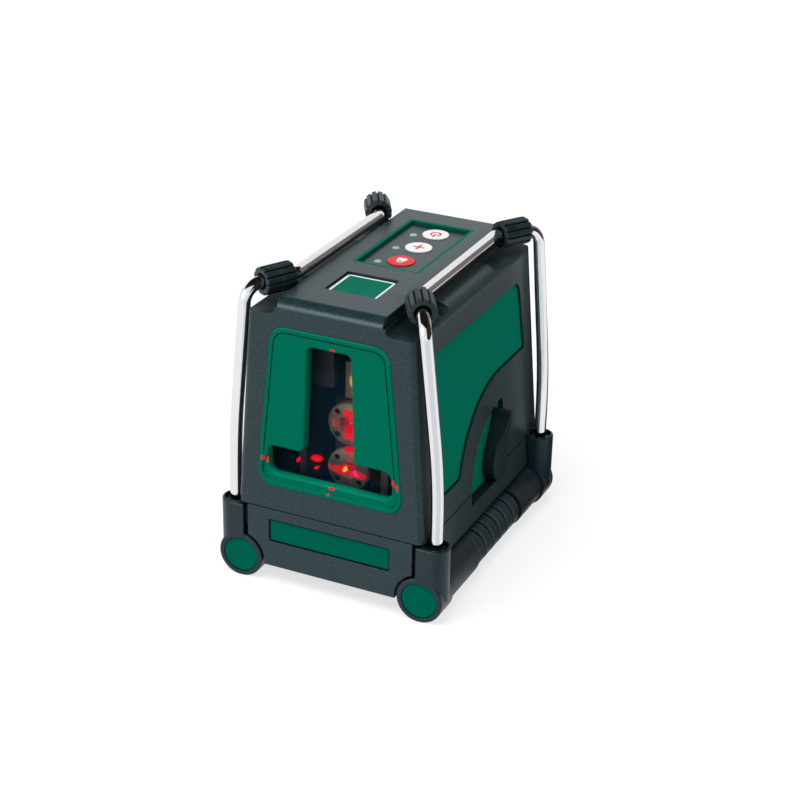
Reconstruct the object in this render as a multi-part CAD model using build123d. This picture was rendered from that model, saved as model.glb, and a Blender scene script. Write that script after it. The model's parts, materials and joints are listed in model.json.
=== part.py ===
from build123d import *
import math
import os

# Cross line laser level: a self-levelling laser in a case with a chrome guard cage.
# Millimetres. +Z is up, the laser window faces -Y, +X is on the right seen from the front.
# The origin is on the floor, midway between the four feet.

# Body
case_half_width = 39.7        # side of the case at the seam
case_half_length = 58.4       # front face, and rear face at the seam
base_bottom_z = 7.5           # ground clearance under the base
base_height = 25.1            # base, from its underside to the seam
case_height = 89.0            # upper case, from the seam to the raised top
side_draft = 3.81             # degrees, lean of both sides
rear_draft = 3.5              # degrees, lean of the rear
body_corner_radius = 2.5
inner_corner_radius = 1.5     # upright inside corners of the case
wall = 3.2
floor_thickness = 3.0
seam_groove = 0.5             # shadow line round the seam
touch_gap = 0.05              # sliding clearance of running fits
loose_gap = 0.3               # clearance between neighbours that only pass each other

# Raised top, shoulders and corner notches
top_inset = 18.1              # raised top's side inside the case's side at the seam
shoulder_drop = 3.6
shoulder_radius = 5.5
notch_drop = 6.6
notch_step = 1.2              # notch's inner wall outside the raised top
notch_front_length = 33.0     # front notches, from the front face
notch_rear_length = 39.9      # rear notches, from the rear face at the seam
notch_corner_radius = 3.0
notch_floor_radius = 2.0
top_front_radius = 4.0
top_edge_radius = 1.0

# Feet, posts and grips
foot_radius = 9.5
foot_flat = 0.3               # depth of the flat that each foot stands on
foot_inset = 0.9              # foot axis inside the case's side
foot_proud = 0.4              # front of the foot ahead of the case
foot_gap = 1.0                # gap between a foot's round and the base
post_radius = 5.6             # outer round of the post, about the rod
post_drop = 0.6               # top of the post under the seam
post_gap = 1.8                # slot between the post and the base's front panel
post_room = 4.3               # side of the base's front panel, inside the case's side
post_rim = 0.9                # wall of the raised rim round the rod
post_rim_depth = 1.4
foot_edge_radius = 0.7
cap_radius = 7.4
cap_thickness = 1.4
cap_recess = 0.3
lug_width = 6.0               # lug that carries the foot on the base
lug_height = 9.0
grip_radius = 8.5
grip_waist_radius = 7.4
grip_rib_radius = 8.0
grip_rib_count = 6
grip_rib_pitch = 7.5
grip_rib_center_y = 2.5
grip_rib_land = 5.2
grip_core_radius = 4.0
grip_core_insert = 5.0        # length of the core inside each foot

# Guard cage
rod_radius = 2.5
rod_offset_x = 3.4            # rod leg outside the case's side
rod_inset_y = 5.0             # rod leg behind the case's front
rod_insert = 14.0             # depth of the leg inside the post
rod_rise = 1.6                # top run above the case's top
rod_top_gap = 4.0             # top run outside the raised top
rod_bow_height = 26.0         # straight foot of the leg, above the seam
rod_bow_radius = 300.0
rod_lean = 6.6                # how far a leg leans in towards its top
rod_lean_forward = 1.8        # how far a front leg leans forward, and a rear leg back
rod_bend_radius = 7.0
rod_flare_radius = 5.0
rod_flare_inset = 22.4        # from the front face to where the top run flares out to the corner
rod_corner_drop = 0.4         # corner of the rod under its top run
bumper_radius = 4.6
bumper_length = 13.0
bumper_lobes = 12
bumper_lobe_radius = 1.25
bumper_shift = 8.8            # middle of the bumper from the flare

# Front bezel and window
bezel_top_gap = 11.0          # bezel's top under the case's top
bezel_bottom_gap = 10.8       # bezel's bottom above the seam
bezel_top_inset = 15.3        # bezel's upper and lower corners inside the case's side at the seam
bezel_bottom_inset = 8.5
bezel_top_radius = 7.0
bezel_bottom_radius = 6.5
bezel_rim_depth = 1.6         # rim's seat in the case
bezel_ledge = 2.0             # width of that seat
bezel_thickness = 4.6
bezel_proud = 0.4
bezel_edge_radius = 0.5
groove_inset = 1.8
groove_width = 0.5
groove_depth = 0.4
step_depth = 0.9              # step round the ends and foot of the bar window
step_rise = 7.4               # top of that step above the bar's lower edge
window_edge_radius = 0.8
stem_top_gap = 16.8           # top of the window's stem under the case's top
stem_top_half = 9.0
stem_foot_half = 10.7
bar_bottom_gap = 15.9         # lower edge of the window's bar above the seam
bar_height = 12.2
bar_inset = 13.6              # end of the bar inside the case's side at the seam
bar_corner_radius = 3.6
stem_corner_radius = 2.5
pane_thickness = 1.5
pane_inset = 3.0

# Plates and side panels
name_side_gap = 9.4           # green plate on the base's front, inside the base's panel
name_height = 9.8
name_drop = 4.3               # top of that plate under the seam
name_thickness = 1.2
name_recess = 0.5
name_corner_radius = 1.0
badge_half_width = 10.8       # green plate on the top
badge_gap = 10.2              # plate on the top, ahead of the keypad
badge_length = 19.7
badge_recess = 0.9
badge_thickness = 0.9
panel_thickness = 1.0
panel_recess = 0.9
panel_gap = 0.35
panel_front_gap = 12.4        # side panel behind the front face
panel_top_gap = 17.6          # top of the side panel under the case's top
panel_top_rear_gap = 17.5     # side panel ahead of the rear face at the seam
panel_low_rear_gap = 13.6
panel_arc_radius = 44.6       # round lower edge, about the lock lever
panel_step_rise = 11.9        # panel's lower front edge above the seam
panel_rear_radius = 6.0
panel_corner_radius = 3.0

# Keypad
pad_side_gap = 7.5            # keypad inside the raised top's side
pad_length = 53.6
pad_rear_gap = 16.2           # keypad ahead of the rear face at the seam
pad_corner_radius = 1.5
pad_rim = 1.2
pad_depth = 1.4               # overlay under the case's top
overlay_thickness = 1.0
overlay_seat = 0.8
button_radius = 5.45
button_count = 3
button_pitch = 16.4
button_x = 1.1
button_rear_gap = 9.0         # rearmost button inside the keypad
button_proud = 0.4
button_flange = 0.8
button_travel = 0.5
button_skirt = 2.6
dome_height = 0.6
led_radius = 1.65
led_offset_x = -8.1           # lamp from its button
led_offset_y = -3.9
board_thickness = 1.6
board_side_gap = 1.9          # keypad's board inside the raised top's inner wall
board_overhang = 2.1

# Lock lever
lever_behind = 34.2           # lever axis behind the plumb line
lever_rise = 2.7              # lever axis above the seam
lever_hub_radius = 7.2
lever_length = 22.8
lever_tip_front = 0.8         # front and rear of the tip, behind the lever axis
lever_tip_rear = 3.2
lever_hub_height = 5.0
lever_tip_height = 8.0
dial_radius = 32.0
dial_offset = 5.7             # dial centre behind and below the lever axis
dial_floor_inset = 3.7        # dial's face inside the case's side at the seam
dial_thickness = 1.2
dial_back = 1.6
dial_pad_margin = 2.4
dial_corner_radius = 3.0
shaft_radius = 2.5
bush_wall = 1.5
bush_flange = 1.6
cam_radius = 4.5
cam_offset = 1.06
cam_width = 5.0
cam_x = 17.5
slide_travel = 1.5
slide_height = 3.4
slide_nose_half = 4.0
slide_nose_height = 5.0

# Pendulum and its frame
plumb_gap = 38.4              # plumb line of the pendulum, and of the tripod thread, behind the front
swing_degrees = 4.0           # self-levelling range each way
gimbal_drop = 23.6            # pivot under the case's top
lower_laser_rise = 15.6       # lower laser above the seam
laser_pitch = 19.4            # from the lower to the upper laser
chassis_half_width = 20.5
chassis_ahead = 24.0          # chassis plate ahead of and behind the plumb line
chassis_behind = 40.0
chassis_drop = 2.6            # chassis plate's underside under the seam
chassis_plate = 3.0
cheek_inner = 16.0
cheek_thickness = 3.0
cheek_ahead = 26.0            # cheeks ahead of and behind the plumb line
cheek_behind = 20.0
cheek_above = 6.0             # cheek over the pivot
lip_inner = 4.5
lip_height = 20.0
lip_thickness = 3.0
ring_outer = 12.5
ring_inner = 9.0
ring_height = 5.0
pin_radius = 1.5
laser_half_length = 19.0
laser_radius = 7.0
laser_flange = 2.0
lens_cap_radius = 9.0
lens_cap_thickness = 3.0
lens_bore_radius = 2.0
lens_mouth_radius = 3.6
lens_screw_ring = 6.7
lens_screw_count = 4
lens_screw_radius = 1.2
lens_shank_radius = 0.8
lens_screw_head = 1.2
block_half_width = 8.0
block_below = 8.2             # block under the lower laser's axis
block_above = 9.2             # block over the upper laser's axis
column_half_width = 4.0
column_half_depth = 5.0
web_half_width = 3.0
web_drop = 5.5                # web's top under the pivot
web_height = 5.5
fin_thickness = 3.8
weight_radius = 11.0
weight_height = 4.0
magnet_radius = 2.5
magnet_height = 2.0
magnet_ring = 6.5
magnet_count = 4
damper_radius = 13.0
damper_thickness = 1.2

# Battery, board, tripod thread and screws
cell_radius = 7.1
cell_length = 50.5
cell_count = 3
cell_pitch = 14.9
cell_rear_gap = 1.8           # cells ahead of the door's inner face
cell_nub_radius = 2.75
cell_nub = 1.5
bay_wall = 2.0
bay_wall_gap = 1.4
door_side_gap = 1.1           # door inside the battery bay's side
door_height = 18.6
door_thickness = 2.2
door_rebate = 2.6
door_hinge_rise = 3.4
hinge_inset = 1.25
knuckle_radius = 1.2
knuckle_half = 15.0
hinge_pin_radius = 0.6
hinge_lug = 4.5
main_board_rest = 2.9         # board's side over the ledge beside the battery bay
main_board_length = 31.0
main_board_rear_gap = 5.4     # board ahead of the rear face
main_board_drop = 5.4         # board's underside under the seam
standoff_radius = 2.0
insert_radius = 10.0
insert_height = 13.0
thread_radius = 6.8           # wall of the 5/8 inch tripod thread
insert_boss_wall = 3.0
screw_front_gap = 12.4
screw_rear_gap = 16.4
screw_radius = 1.5
screw_head_radius = 2.5
screw_head_height = 2.0
screw_boss_radius = 2.8
screw_reach = 8.0             # screw inside the upper case
boss_height = 11.0
rib_thickness = 2.0

# Places that follow from the sizes above
seam_z = base_bottom_z + base_height
top_z = seam_z + case_height
shoulder_z = top_z - shoulder_drop
notch_z = top_z - notch_drop
ceiling_z = notch_z - wall
roof_z = top_z - wall
front_y = -case_half_length
top_half_width = case_half_width - top_inset
notch_half_width = top_half_width + notch_step
notch_front_y = front_y + notch_front_length
notch_rear_y = case_half_length - notch_rear_length
panel_half_width = case_half_width - post_room
bezel_top_half = case_half_width - bezel_top_inset
bezel_bottom_half = case_half_width - bezel_bottom_inset
bar_half = case_half_width - bar_inset
name_half_width = panel_half_width - name_side_gap
panel_front_y = front_y + panel_front_gap
panel_top_rear_y = case_half_length - panel_top_rear_gap
panel_low_rear_y = case_half_length - panel_low_rear_gap
pad_rear_y = case_half_length - pad_rear_gap
pad_front_y = pad_rear_y - pad_length
button_rear_y = pad_rear_y - button_rear_gap
badge_rear_y = pad_front_y - badge_gap
badge_front_y = badge_rear_y - badge_length
pad_half_width = top_half_width - pad_side_gap
board_half_width = top_half_width - wall - board_side_gap
plumb_y = front_y + plumb_gap
lever_y = plumb_y + lever_behind
chassis_front_y = plumb_y - chassis_ahead
chassis_rear_y = plumb_y + chassis_behind
cheek_front_y = plumb_y - cheek_ahead
cheek_rear_y = plumb_y + cheek_behind
rod_top_half = top_half_width + rod_top_gap
rod_flare_y = case_half_length - rod_flare_inset
screw_front_y = front_y + screw_front_gap
screw_rear_y = case_half_length - screw_rear_gap
side_lean = math.tan(math.radians(side_draft))
rear_lean = math.tan(math.radians(rear_draft))
foot_x = case_half_width - foot_inset
foot_z = foot_radius - foot_flat
foot_front_y = front_y - foot_proud
cap_back_y = foot_front_y + cap_recess + cap_thickness
rod_x = case_half_width + rod_offset_x
rod_y = front_y + rod_inset_y
post_top_z = seam_z - post_drop
post_inner_x = panel_half_width + post_gap
post_back_y = rod_y + post_radius
tray_floor_z = base_bottom_z + floor_thickness
tube_clear = foot_radius + foot_gap
tray_step_z = foot_z + tube_clear + wall
gimbal_z = top_z - gimbal_drop
lower_laser_z = seam_z + lower_laser_rise
upper_laser_z = lower_laser_z + laser_pitch
block_bottom_z = lower_laser_z - block_below
block_top_z = upper_laser_z + block_above
chassis_z = seam_z - chassis_drop
chassis_top_z = chassis_z + chassis_plate
lever_z = seam_z + lever_rise
dial_x = case_half_width - dial_floor_inset
dial_seat_x = dial_x - dial_thickness
dial_back_x = dial_seat_x - dial_back
dial_bottom_z = lever_z - lever_hub_radius - 2 * loose_gap
lever_x = dial_x + loose_gap
overlay_z = top_z - pad_depth
pad_ledge_z = overlay_z - overlay_thickness
board_top_z = pad_ledge_z - button_skirt - button_travel - dome_height
flange_z = pad_ledge_z - loose_gap
led_x = button_x + led_offset_x
button_ys = [button_rear_y - button_pitch * i for i in range(button_count)]
screw_x = cell_pitch * (cell_count - 1) / 2 + cell_radius + screw_boss_radius + loose_gap
cell_xs = [cell_pitch * (i - (cell_count - 1) / 2) for i in range(cell_count)]
cell_z = tray_floor_z + cell_radius
door_inner_y = case_half_length - door_thickness
cell_rear_y = door_inner_y - cell_rear_gap
cell_front_y = cell_rear_y - cell_length
bay_half = foot_x - tube_clear - wall
door_half_width = bay_half - door_side_gap
main_board_half_width = bay_half + main_board_rest
main_board_rear_y = case_half_length - main_board_rear_gap
main_board_front_y = main_board_rear_y - main_board_length
bay_wall_y = cell_front_y - bay_wall_gap - bay_wall
hinge_y = case_half_length - hinge_inset
hinge_z = base_bottom_z + door_hinge_rise
door_top_z = hinge_z + door_height
lens_front_y = plumb_y - laser_half_length - lens_cap_thickness
flange_back_y = plumb_y - laser_half_length + laser_flange
cheek_outer = cheek_inner + cheek_thickness
slide_z = chassis_top_z + loose_gap / 2
name_back_y = front_y + name_recess + name_thickness
slide_rear_y = lever_y - cam_radius + cam_offset * math.sqrt(0.5) - 2 * touch_gap


# Shape helpers
def block(x0, x1, y0, y1, z0, z1):
    """A plain box between two corners."""
    return Pos((x0 + x1) / 2, (y0 + y1) / 2, (z0 + z1) / 2) * Box(x1 - x0, y1 - y0, z1 - z0)


def bar(start, end, radius):
    """A round bar from one point to another."""
    axis = Vector(end) - Vector(start)
    return extrude(Plane(origin=start, z_dir=axis) * Circle(radius), amount=axis.length)


def upright(x, y, z0, z1, radius):
    """A round bar that stands along Z."""
    return bar((x, y, z0), (x, y, z1), radius)


def crosswise(x0, x1, y, z, radius):
    """A round bar that lies along X."""
    return bar((x0, y, z), (x1, y, z), radius)


def lengthwise(x, y0, y1, z, radius):
    """A round bar that lies along Y."""
    return bar((x, y0, z), (x, y1, z), radius)


def front_plane(y):
    """A sketch plane in X and Z, whose extrusions run towards the front."""
    return Plane(origin=(0, y, 0), x_dir=(1, 0, 0), z_dir=(0, -1, 0))


def side_plane(x):
    """A sketch plane in Y and Z, whose extrusions run towards +X."""
    return Plane(origin=(x, 0, 0), x_dir=(0, 1, 0), z_dir=(1, 0, 0))


def mirrored(shape, side, end):
    """A copy of a front right piece at the given side (1 right, -1 left) and end (-1 front, 1 rear)."""
    if side < 0:
        shape = mirror(shape, about=Plane.YZ)
    if end > 0:
        shape = mirror(shape, about=Plane.XZ)
    return shape


def round_corner(face, point, radius):
    """A sketch with the corner nearest to a point rounded off."""
    corner = face.vertices().sort_by_distance(Vector(*point))[0]
    return fillet(corner, radius)


# Body of the case and the base
def side_x(z, inset=0.0):
    """Half width of the leaning body at a height."""
    return case_half_width - (z - seam_z) * side_lean - inset / math.cos(math.radians(side_draft))


def rear_y(z, inset=0.0):
    """Rear face of the body at a height: upright below the seam, leaning above it."""
    return case_half_length - max(0.0, z - seam_z) * rear_lean - inset


def body(z0, z1, inset, radius):
    """The leaning body between two heights, taken in by a wall, with rounded upright corners."""
    across = Polygon((-side_x(z0, inset), z0), (side_x(z0, inset), z0),
                     (side_x(z1, inset), z1), (-side_x(z1, inset), z1))
    along = Polygon((front_y + inset, z0), (rear_y(z0, inset), z0),
                    (rear_y(z1, inset), z1), (front_y + inset, z1))
    shape = (extrude(front_plane(0) * across, amount=2 * case_half_length, both=True)
             & extrude(side_plane(0) * along, amount=2 * case_half_width, both=True))
    middle_z = (z0 + z1) / 2
    uprights = [edge for edge in shape.edges()
                if abs(edge.center().Z - middle_z) < (z1 - z0) / 4]
    return fillet(uprights, radius)


def dial_outline(grow=0.0):
    """Quarter round that the lock lever sweeps, in Y and Z."""
    center = (lever_y + dial_offset, lever_z - dial_offset)
    radius = dial_radius + grow
    bottom = dial_bottom_z - grow
    rear = lever_y + lever_hub_radius + loose_gap + grow
    front = center[0] - radius
    disc = Pos(*center) * Circle(radius)
    peak = center[1] + radius
    window = Polygon((front, bottom), (rear, bottom), (rear, peak), (front, peak))
    face = disc & window
    top_rear = (rear, center[1] + math.sqrt(radius ** 2 - (rear - center[0]) ** 2))
    return round_corner(face, top_rear, dial_corner_radius)


def dial_pad():
    """Thick inner wall behind the lever's dial, inside the leaning body."""
    pad = extrude(side_plane(dial_back_x) * dial_outline(dial_pad_margin), amount=dial_floor_inset * 4)
    return pad & body(base_bottom_z, top_z, wall / 2, inner_corner_radius)


def dial_cut():
    """Recess of the dial, and the hole for the lever's bush."""
    recess = extrude(side_plane(dial_seat_x) * dial_outline(), amount=dial_floor_inset * 4)
    return recess + crosswise(dial_back_x - wall, dial_x, lever_y, lever_z, shaft_radius + bush_wall)


def bezel_outline(inset=0.0):
    """Trapezoid of the front bezel in X and Z, taken in by an inset."""
    bottom_z = seam_z + bezel_bottom_gap
    peak_z = top_z - bezel_top_gap
    lean = (bezel_bottom_half - bezel_top_half) / (peak_z - bottom_z)
    take = inset * math.sqrt(1 + lean ** 2)
    low = bezel_bottom_half - inset * lean - take
    high = bezel_top_half + inset * lean - take
    points = [(-low, bottom_z + inset), (low, bottom_z + inset),
              (high, peak_z - inset), (-high, peak_z - inset)]
    radii = [bezel_bottom_radius - inset] * 2 + [bezel_top_radius - inset] * 2
    return make_face(FilletPolyline(*points, radius=radii, close=True))


def window_outline():
    """Upside-down T of the laser window in X and Z."""
    bar_z = seam_z + bar_bottom_gap
    foot_of_stem_z = bar_z + bar_height
    stem_top_z = top_z - stem_top_gap
    right = [(bar_half, bar_z), (bar_half, foot_of_stem_z), (stem_foot_half, foot_of_stem_z),
             (stem_top_half, stem_top_z)]
    left = [(-x, z) for x, z in reversed(right)]
    radii = [bar_corner_radius, bar_corner_radius, stem_corner_radius, stem_corner_radius]
    return make_face(FilletPolyline(*right, *left, radius=radii + radii[::-1], close=True))


def lean_plane(depth):
    """Sketch plane on the case's right side, a depth under its surface: Y, and height over the seam."""
    lean = math.radians(side_draft)
    normal = Vector(math.cos(lean), 0, math.sin(lean))
    return Plane(origin=Vector(case_half_width, 0, seam_z) - normal * depth, x_dir=(0, 1, 0), z_dir=normal)


def side_panel_outline():
    """Green side panel: its lower edge runs round the lever's dial and steps down to the front."""
    top = case_height - panel_top_gap
    center = (lever_y + dial_offset, lever_rise - dial_offset)
    low = center[1] + panel_arc_radius
    step = panel_step_rise
    reach = math.sqrt(panel_arc_radius ** 2 - (step - center[1]) ** 2)
    arc_end = (center[0] - reach, step)
    arc_angle = math.degrees(math.atan2(step - center[1], -reach))
    mid_angle = math.radians((90 + arc_angle) / 2)
    arc_mid = (center[0] + panel_arc_radius * math.cos(mid_angle),
               center[1] + panel_arc_radius * math.sin(mid_angle))
    corners = [(panel_front_y, step), (panel_front_y, top), (panel_top_rear_y, top),
               (panel_low_rear_y, low), (center[0], low)]
    edge = Polyline(*corners) + ThreePointArc(corners[-1], arc_mid, arc_end) + Line(arc_end, corners[0])
    face = make_face(edge)
    face = round_corner(face, corners[2], panel_rear_radius)
    for corner in (corners[0], corners[1], arc_end):
        face = round_corner(face, corner, panel_corner_radius)
    return face


def pad_outline(z, inset):
    """Rounded outline of the keypad at a height, taken in by an inset."""
    sheet = RectangleRounded(2 * (pad_half_width - inset), pad_rear_y - pad_front_y - 2 * inset,
                             max(pad_corner_radius - inset, pad_corner_radius / 4))
    return Plane(origin=(0, (pad_front_y + pad_rear_y) / 2, z)) * sheet


def screw_places():
    """Where the case screws stand."""
    return [(side * screw_x, y) for side in (-1, 1) for y in (screw_front_y, screw_rear_y)]


def board_posts():
    """Where the keypad's board hangs under the top."""
    x = (pad_half_width + board_half_width) / 2
    return [(side * x, y) for side in (-1, 1) for y in (pad_front_y, pad_rear_y)]


def upper_case():
    """Upper shell, with its raised top, corner notches, pockets and inner bosses."""
    shape = body(seam_z, top_z, 0, body_corner_radius)
    for side in (-1, 1):
        outer = side * 2 * case_half_width
        low_x, high_x = sorted((side * top_half_width, outer))
        shape -= block(low_x, high_x, 2 * front_y, -2 * front_y, shoulder_z, top_z + wall)
        shape -= mirrored(shoulder_round(), side, -1)
    for side in (-1, 1):
        for inner_y, end in ((notch_front_y, -1), (notch_rear_y, 1)):
            shape -= corner_notch(side, end, inner_y)
    shape = fillet(top_edges(shape, front_y), top_front_radius)
    shape -= body(seam_z - wall, ceiling_z, wall, inner_corner_radius)
    shape -= block(-top_half_width + wall, top_half_width - wall, front_y + wall, rear_y(top_z) - wall,
                   ceiling_z - wall, roof_z)
    shape -= extrude(front_plane(front_y + bezel_rim_depth) * bezel_outline(-touch_gap), amount=wall)
    shape -= extrude(front_plane(front_y + 2 * wall) * bezel_outline(bezel_ledge), amount=3 * wall)
    shape -= extrude(pad_outline(pad_ledge_z, -touch_gap), amount=wall)
    shape -= extrude(pad_outline(roof_z - wall, pad_rim + overlay_seat), amount=2 * wall)
    shape -= block(-badge_half_width, badge_half_width, badge_front_y, badge_rear_y,
                   top_z - badge_recess - badge_thickness, top_z + wall)
    for x, y in board_posts():
        shape += upright(x, y, board_top_z, roof_z, standoff_radius)
    for x, y in screw_places():
        shape += upright(x, y, seam_z, seam_z + boss_height, screw_boss_radius)
        side = math.copysign(1, x)
        reach = side * (side_x(seam_z + boss_height) - wall / 2)
        low_x, high_x = sorted((x + side * screw_radius, reach))
        shape += block(low_x, high_x, y - rib_thickness / 2, y + rib_thickness / 2,
                       seam_z, seam_z + boss_height)
    above_seam = block(-2 * case_half_width, 2 * case_half_width, 2 * front_y, -2 * front_y, seam_z, top_z)
    shape += dial_pad() & above_seam
    shape -= dial_cut()
    pocket_outline = offset(side_panel_outline(), panel_gap)
    pocket = extrude(lean_plane(panel_recess + panel_thickness) * pocket_outline, amount=wall)
    shape -= pocket
    shape -= mirror(pocket, about=Plane.YZ)
    for x, y in screw_places():
        shape -= upright(x, y, seam_z - wall, seam_z + screw_reach, screw_radius)
    lip = body(seam_z - wall, seam_z + seam_groove, -wall, body_corner_radius)
    lip -= body(seam_z - 2 * wall, seam_z + wall, seam_groove, body_corner_radius)
    return shape - lip


def shoulder_round():
    """What the rounding of the right shoulder takes away, along the whole case."""
    lean = math.radians(side_draft)
    center_z = shoulder_z - shoulder_radius
    center = (side_x(center_z, shoulder_radius), center_z)
    on_side = (center[0] + shoulder_radius * math.cos(lean), center_z + shoulder_radius * math.sin(lean))
    corner = (side_x(shoulder_z), shoulder_z)
    sliver = Polygon(center, on_side, corner, (center[0], shoulder_z))
    sliver -= Pos(*center) * Circle(shoulder_radius)
    return extrude(front_plane(0) * sliver, amount=2 * case_half_length, both=True)


def corner_notch(side, end, inner_y):
    """One corner pocket under a bumper, with rounded inner corners."""
    reach = 2 * case_half_length
    low_x, high_x = sorted((side * notch_half_width, side * reach))
    low_y, high_y = sorted((inner_y, end * reach))
    cutter = block(low_x, high_x, low_y, high_y, notch_z, top_z + reach)
    inner = [edge for edge in cutter.edges().filter_by(Axis.Z)
             if abs(edge.center().X - side * notch_half_width) < touch_gap
             and abs(edge.center().Y - inner_y) < touch_gap]
    cutter = fillet(inner, notch_corner_radius)
    floor_edges = [edge for edge in cutter.edges()
                   if abs(edge.center().Z - notch_z) < touch_gap
                   and abs(edge.center().X) < reach - touch_gap
                   and abs(edge.center().Y) < reach - touch_gap]
    middle = [edge for edge in floor_edges
              if abs(edge.center().X) < reach / 2 + case_half_width
              and abs(edge.center().Y) < reach / 2 + case_half_width]
    return fillet(middle, notch_floor_radius)


def top_edges(shape, y):
    """The raised top's cross edges at a given end."""
    return [edge for edge in shape.edges().filter_by(Axis.X)
            if abs(edge.center().Z - top_z) < touch_gap and abs(edge.center().Y - y) < touch_gap]


def base_tray():
    """Base: a tray between the feet, with the battery bay, its door's seat and the tripod boss."""
    shape = body(base_bottom_z, seam_z, 0, body_corner_radius)
    for side in (-1, 1):
        shape -= lengthwise(side * foot_x, 2 * front_y, -2 * front_y, foot_z, tube_clear)
        low_x, high_x = sorted((side * foot_x, side * 2 * foot_x))
        shape -= block(low_x, high_x, 2 * front_y, -2 * front_y, 0, foot_z + tube_clear)
        low_x, high_x = sorted((side * panel_half_width, side * 2 * foot_x))
        for end in (-1, 1):
            inner_y = end * (-post_back_y - post_gap)
            low_y, high_y = sorted((inner_y, end * 2 * case_half_length))
            shape -= block(low_x, high_x, low_y, high_y, 0, seam_z + wall)
    inner_y = case_half_length - wall
    shape -= block(-bay_half, bay_half, -inner_y, inner_y, tray_floor_z, seam_z + wall)
    between = panel_half_width - wall
    shape -= block(-between, between, -inner_y, inner_y, tray_step_z, seam_z + wall)
    wide = case_half_width - wall
    wide_y = -post_back_y - post_gap - wall
    shape -= block(-wide, wide, -wide_y, wide_y, tray_step_z, seam_z + wall)
    shape += block(-bay_half, bay_half, bay_wall_y, bay_wall_y + bay_wall, tray_floor_z, chassis_z)
    insert_top_z = base_bottom_z + insert_height
    shape += upright(0, plumb_y, tray_floor_z, insert_top_z, insert_radius + insert_boss_wall)
    shape -= block(-bay_half, bay_half, bay_wall_y + bay_wall, inner_y, tray_floor_z, seam_z + wall)
    for x, y in screw_places():
        shape += upright(x, y, tray_floor_z, seam_z, screw_boss_radius)
    for x, y in chassis_bosses():
        shape += upright(x, y, tray_floor_z, chassis_z, standoff_radius)
    for x, y in main_board_posts():
        shape += upright(x, y, tray_step_z, seam_z - main_board_drop, standoff_radius)
    below_seam = block(-2 * case_half_width, 2 * case_half_width, 2 * front_y, -2 * front_y, 0, seam_z)
    shape += dial_pad() & below_seam
    shape -= dial_cut()
    shape -= upright(0, plumb_y, 0, insert_top_z + wall, insert_radius)
    shape -= extrude(front_plane(name_back_y) * name_outline(touch_gap), amount=wall)
    head_top_z = base_bottom_z + loose_gap + screw_head_height
    for x, y in screw_places():
        shape -= upright(x, y, 0, head_top_z, screw_head_radius + touch_gap)
        shape -= upright(x, y, 0, seam_z + wall, screw_radius + touch_gap)
    for side, end in ((1, -1), (1, 1), (-1, -1), (-1, 1)):
        shape -= mirrored(foot_screw(touch_gap), side, end)
    return shape - door_seat() + hinge_lugs()


def door_seat():
    """Rebate and opening of the battery door in the base's rear."""
    low_z = hinge_z - hinge_inset - knuckle_radius / 3
    half = door_half_width + loose_gap
    far_y = 2 * case_half_length
    rebate = block(-half, half, case_half_length - door_rebate, far_y, low_z, door_top_z + loose_gap)
    half = door_half_width - door_thickness
    return rebate + block(-half, half, case_half_length - 2 * wall, far_y,
                          hinge_z + knuckle_radius, door_top_z - door_thickness)


def hinge_lugs():
    """The base's two hinge lugs, either side of the door's knuckle."""
    lugs = []
    for side in (-1, 1):
        near = side * (knuckle_half + loose_gap)
        far = side * (knuckle_half + loose_gap + hinge_lug)
        low_x, high_x = sorted((near, far))
        lug = crosswise(low_x, high_x, hinge_y, hinge_z, knuckle_radius)
        lug += block(low_x, high_x, case_half_length - wall, hinge_y, base_bottom_z, hinge_z + knuckle_radius)
        lug += block(low_x, high_x, hinge_y, hinge_y + knuckle_radius, base_bottom_z, hinge_z)
        lugs.append(lug - crosswise(low_x - wall, high_x + wall, hinge_y, hinge_z, hinge_pin_radius))
    return Part() + lugs


def name_outline(grow=0.0):
    """Green plate on the base's front, in X and Z."""
    width = 2 * (name_half_width + grow)
    sheet = RectangleRounded(width, name_height + 2 * grow, name_corner_radius + grow)
    return Pos(0, seam_z - name_drop - name_height / 2) * sheet


def chassis_bosses():
    """Where the chassis stands on the base."""
    x = cheek_inner - standoff_radius / 2
    front, rear = chassis_front_y + 2 * standoff_radius, bay_wall_y - standoff_radius / 2
    return [(side * x, y) for side in (-1, 1) for y in (front, rear)]


def main_board_posts():
    """Where the main board stands on the base."""
    x = main_board_half_width - standoff_radius / 2
    front = main_board_front_y + standoff_radius
    rear = -post_back_y - post_gap - wall - standoff_radius
    return [(side * x, y) for side in (-1, 1) for y in (front, rear)]


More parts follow.
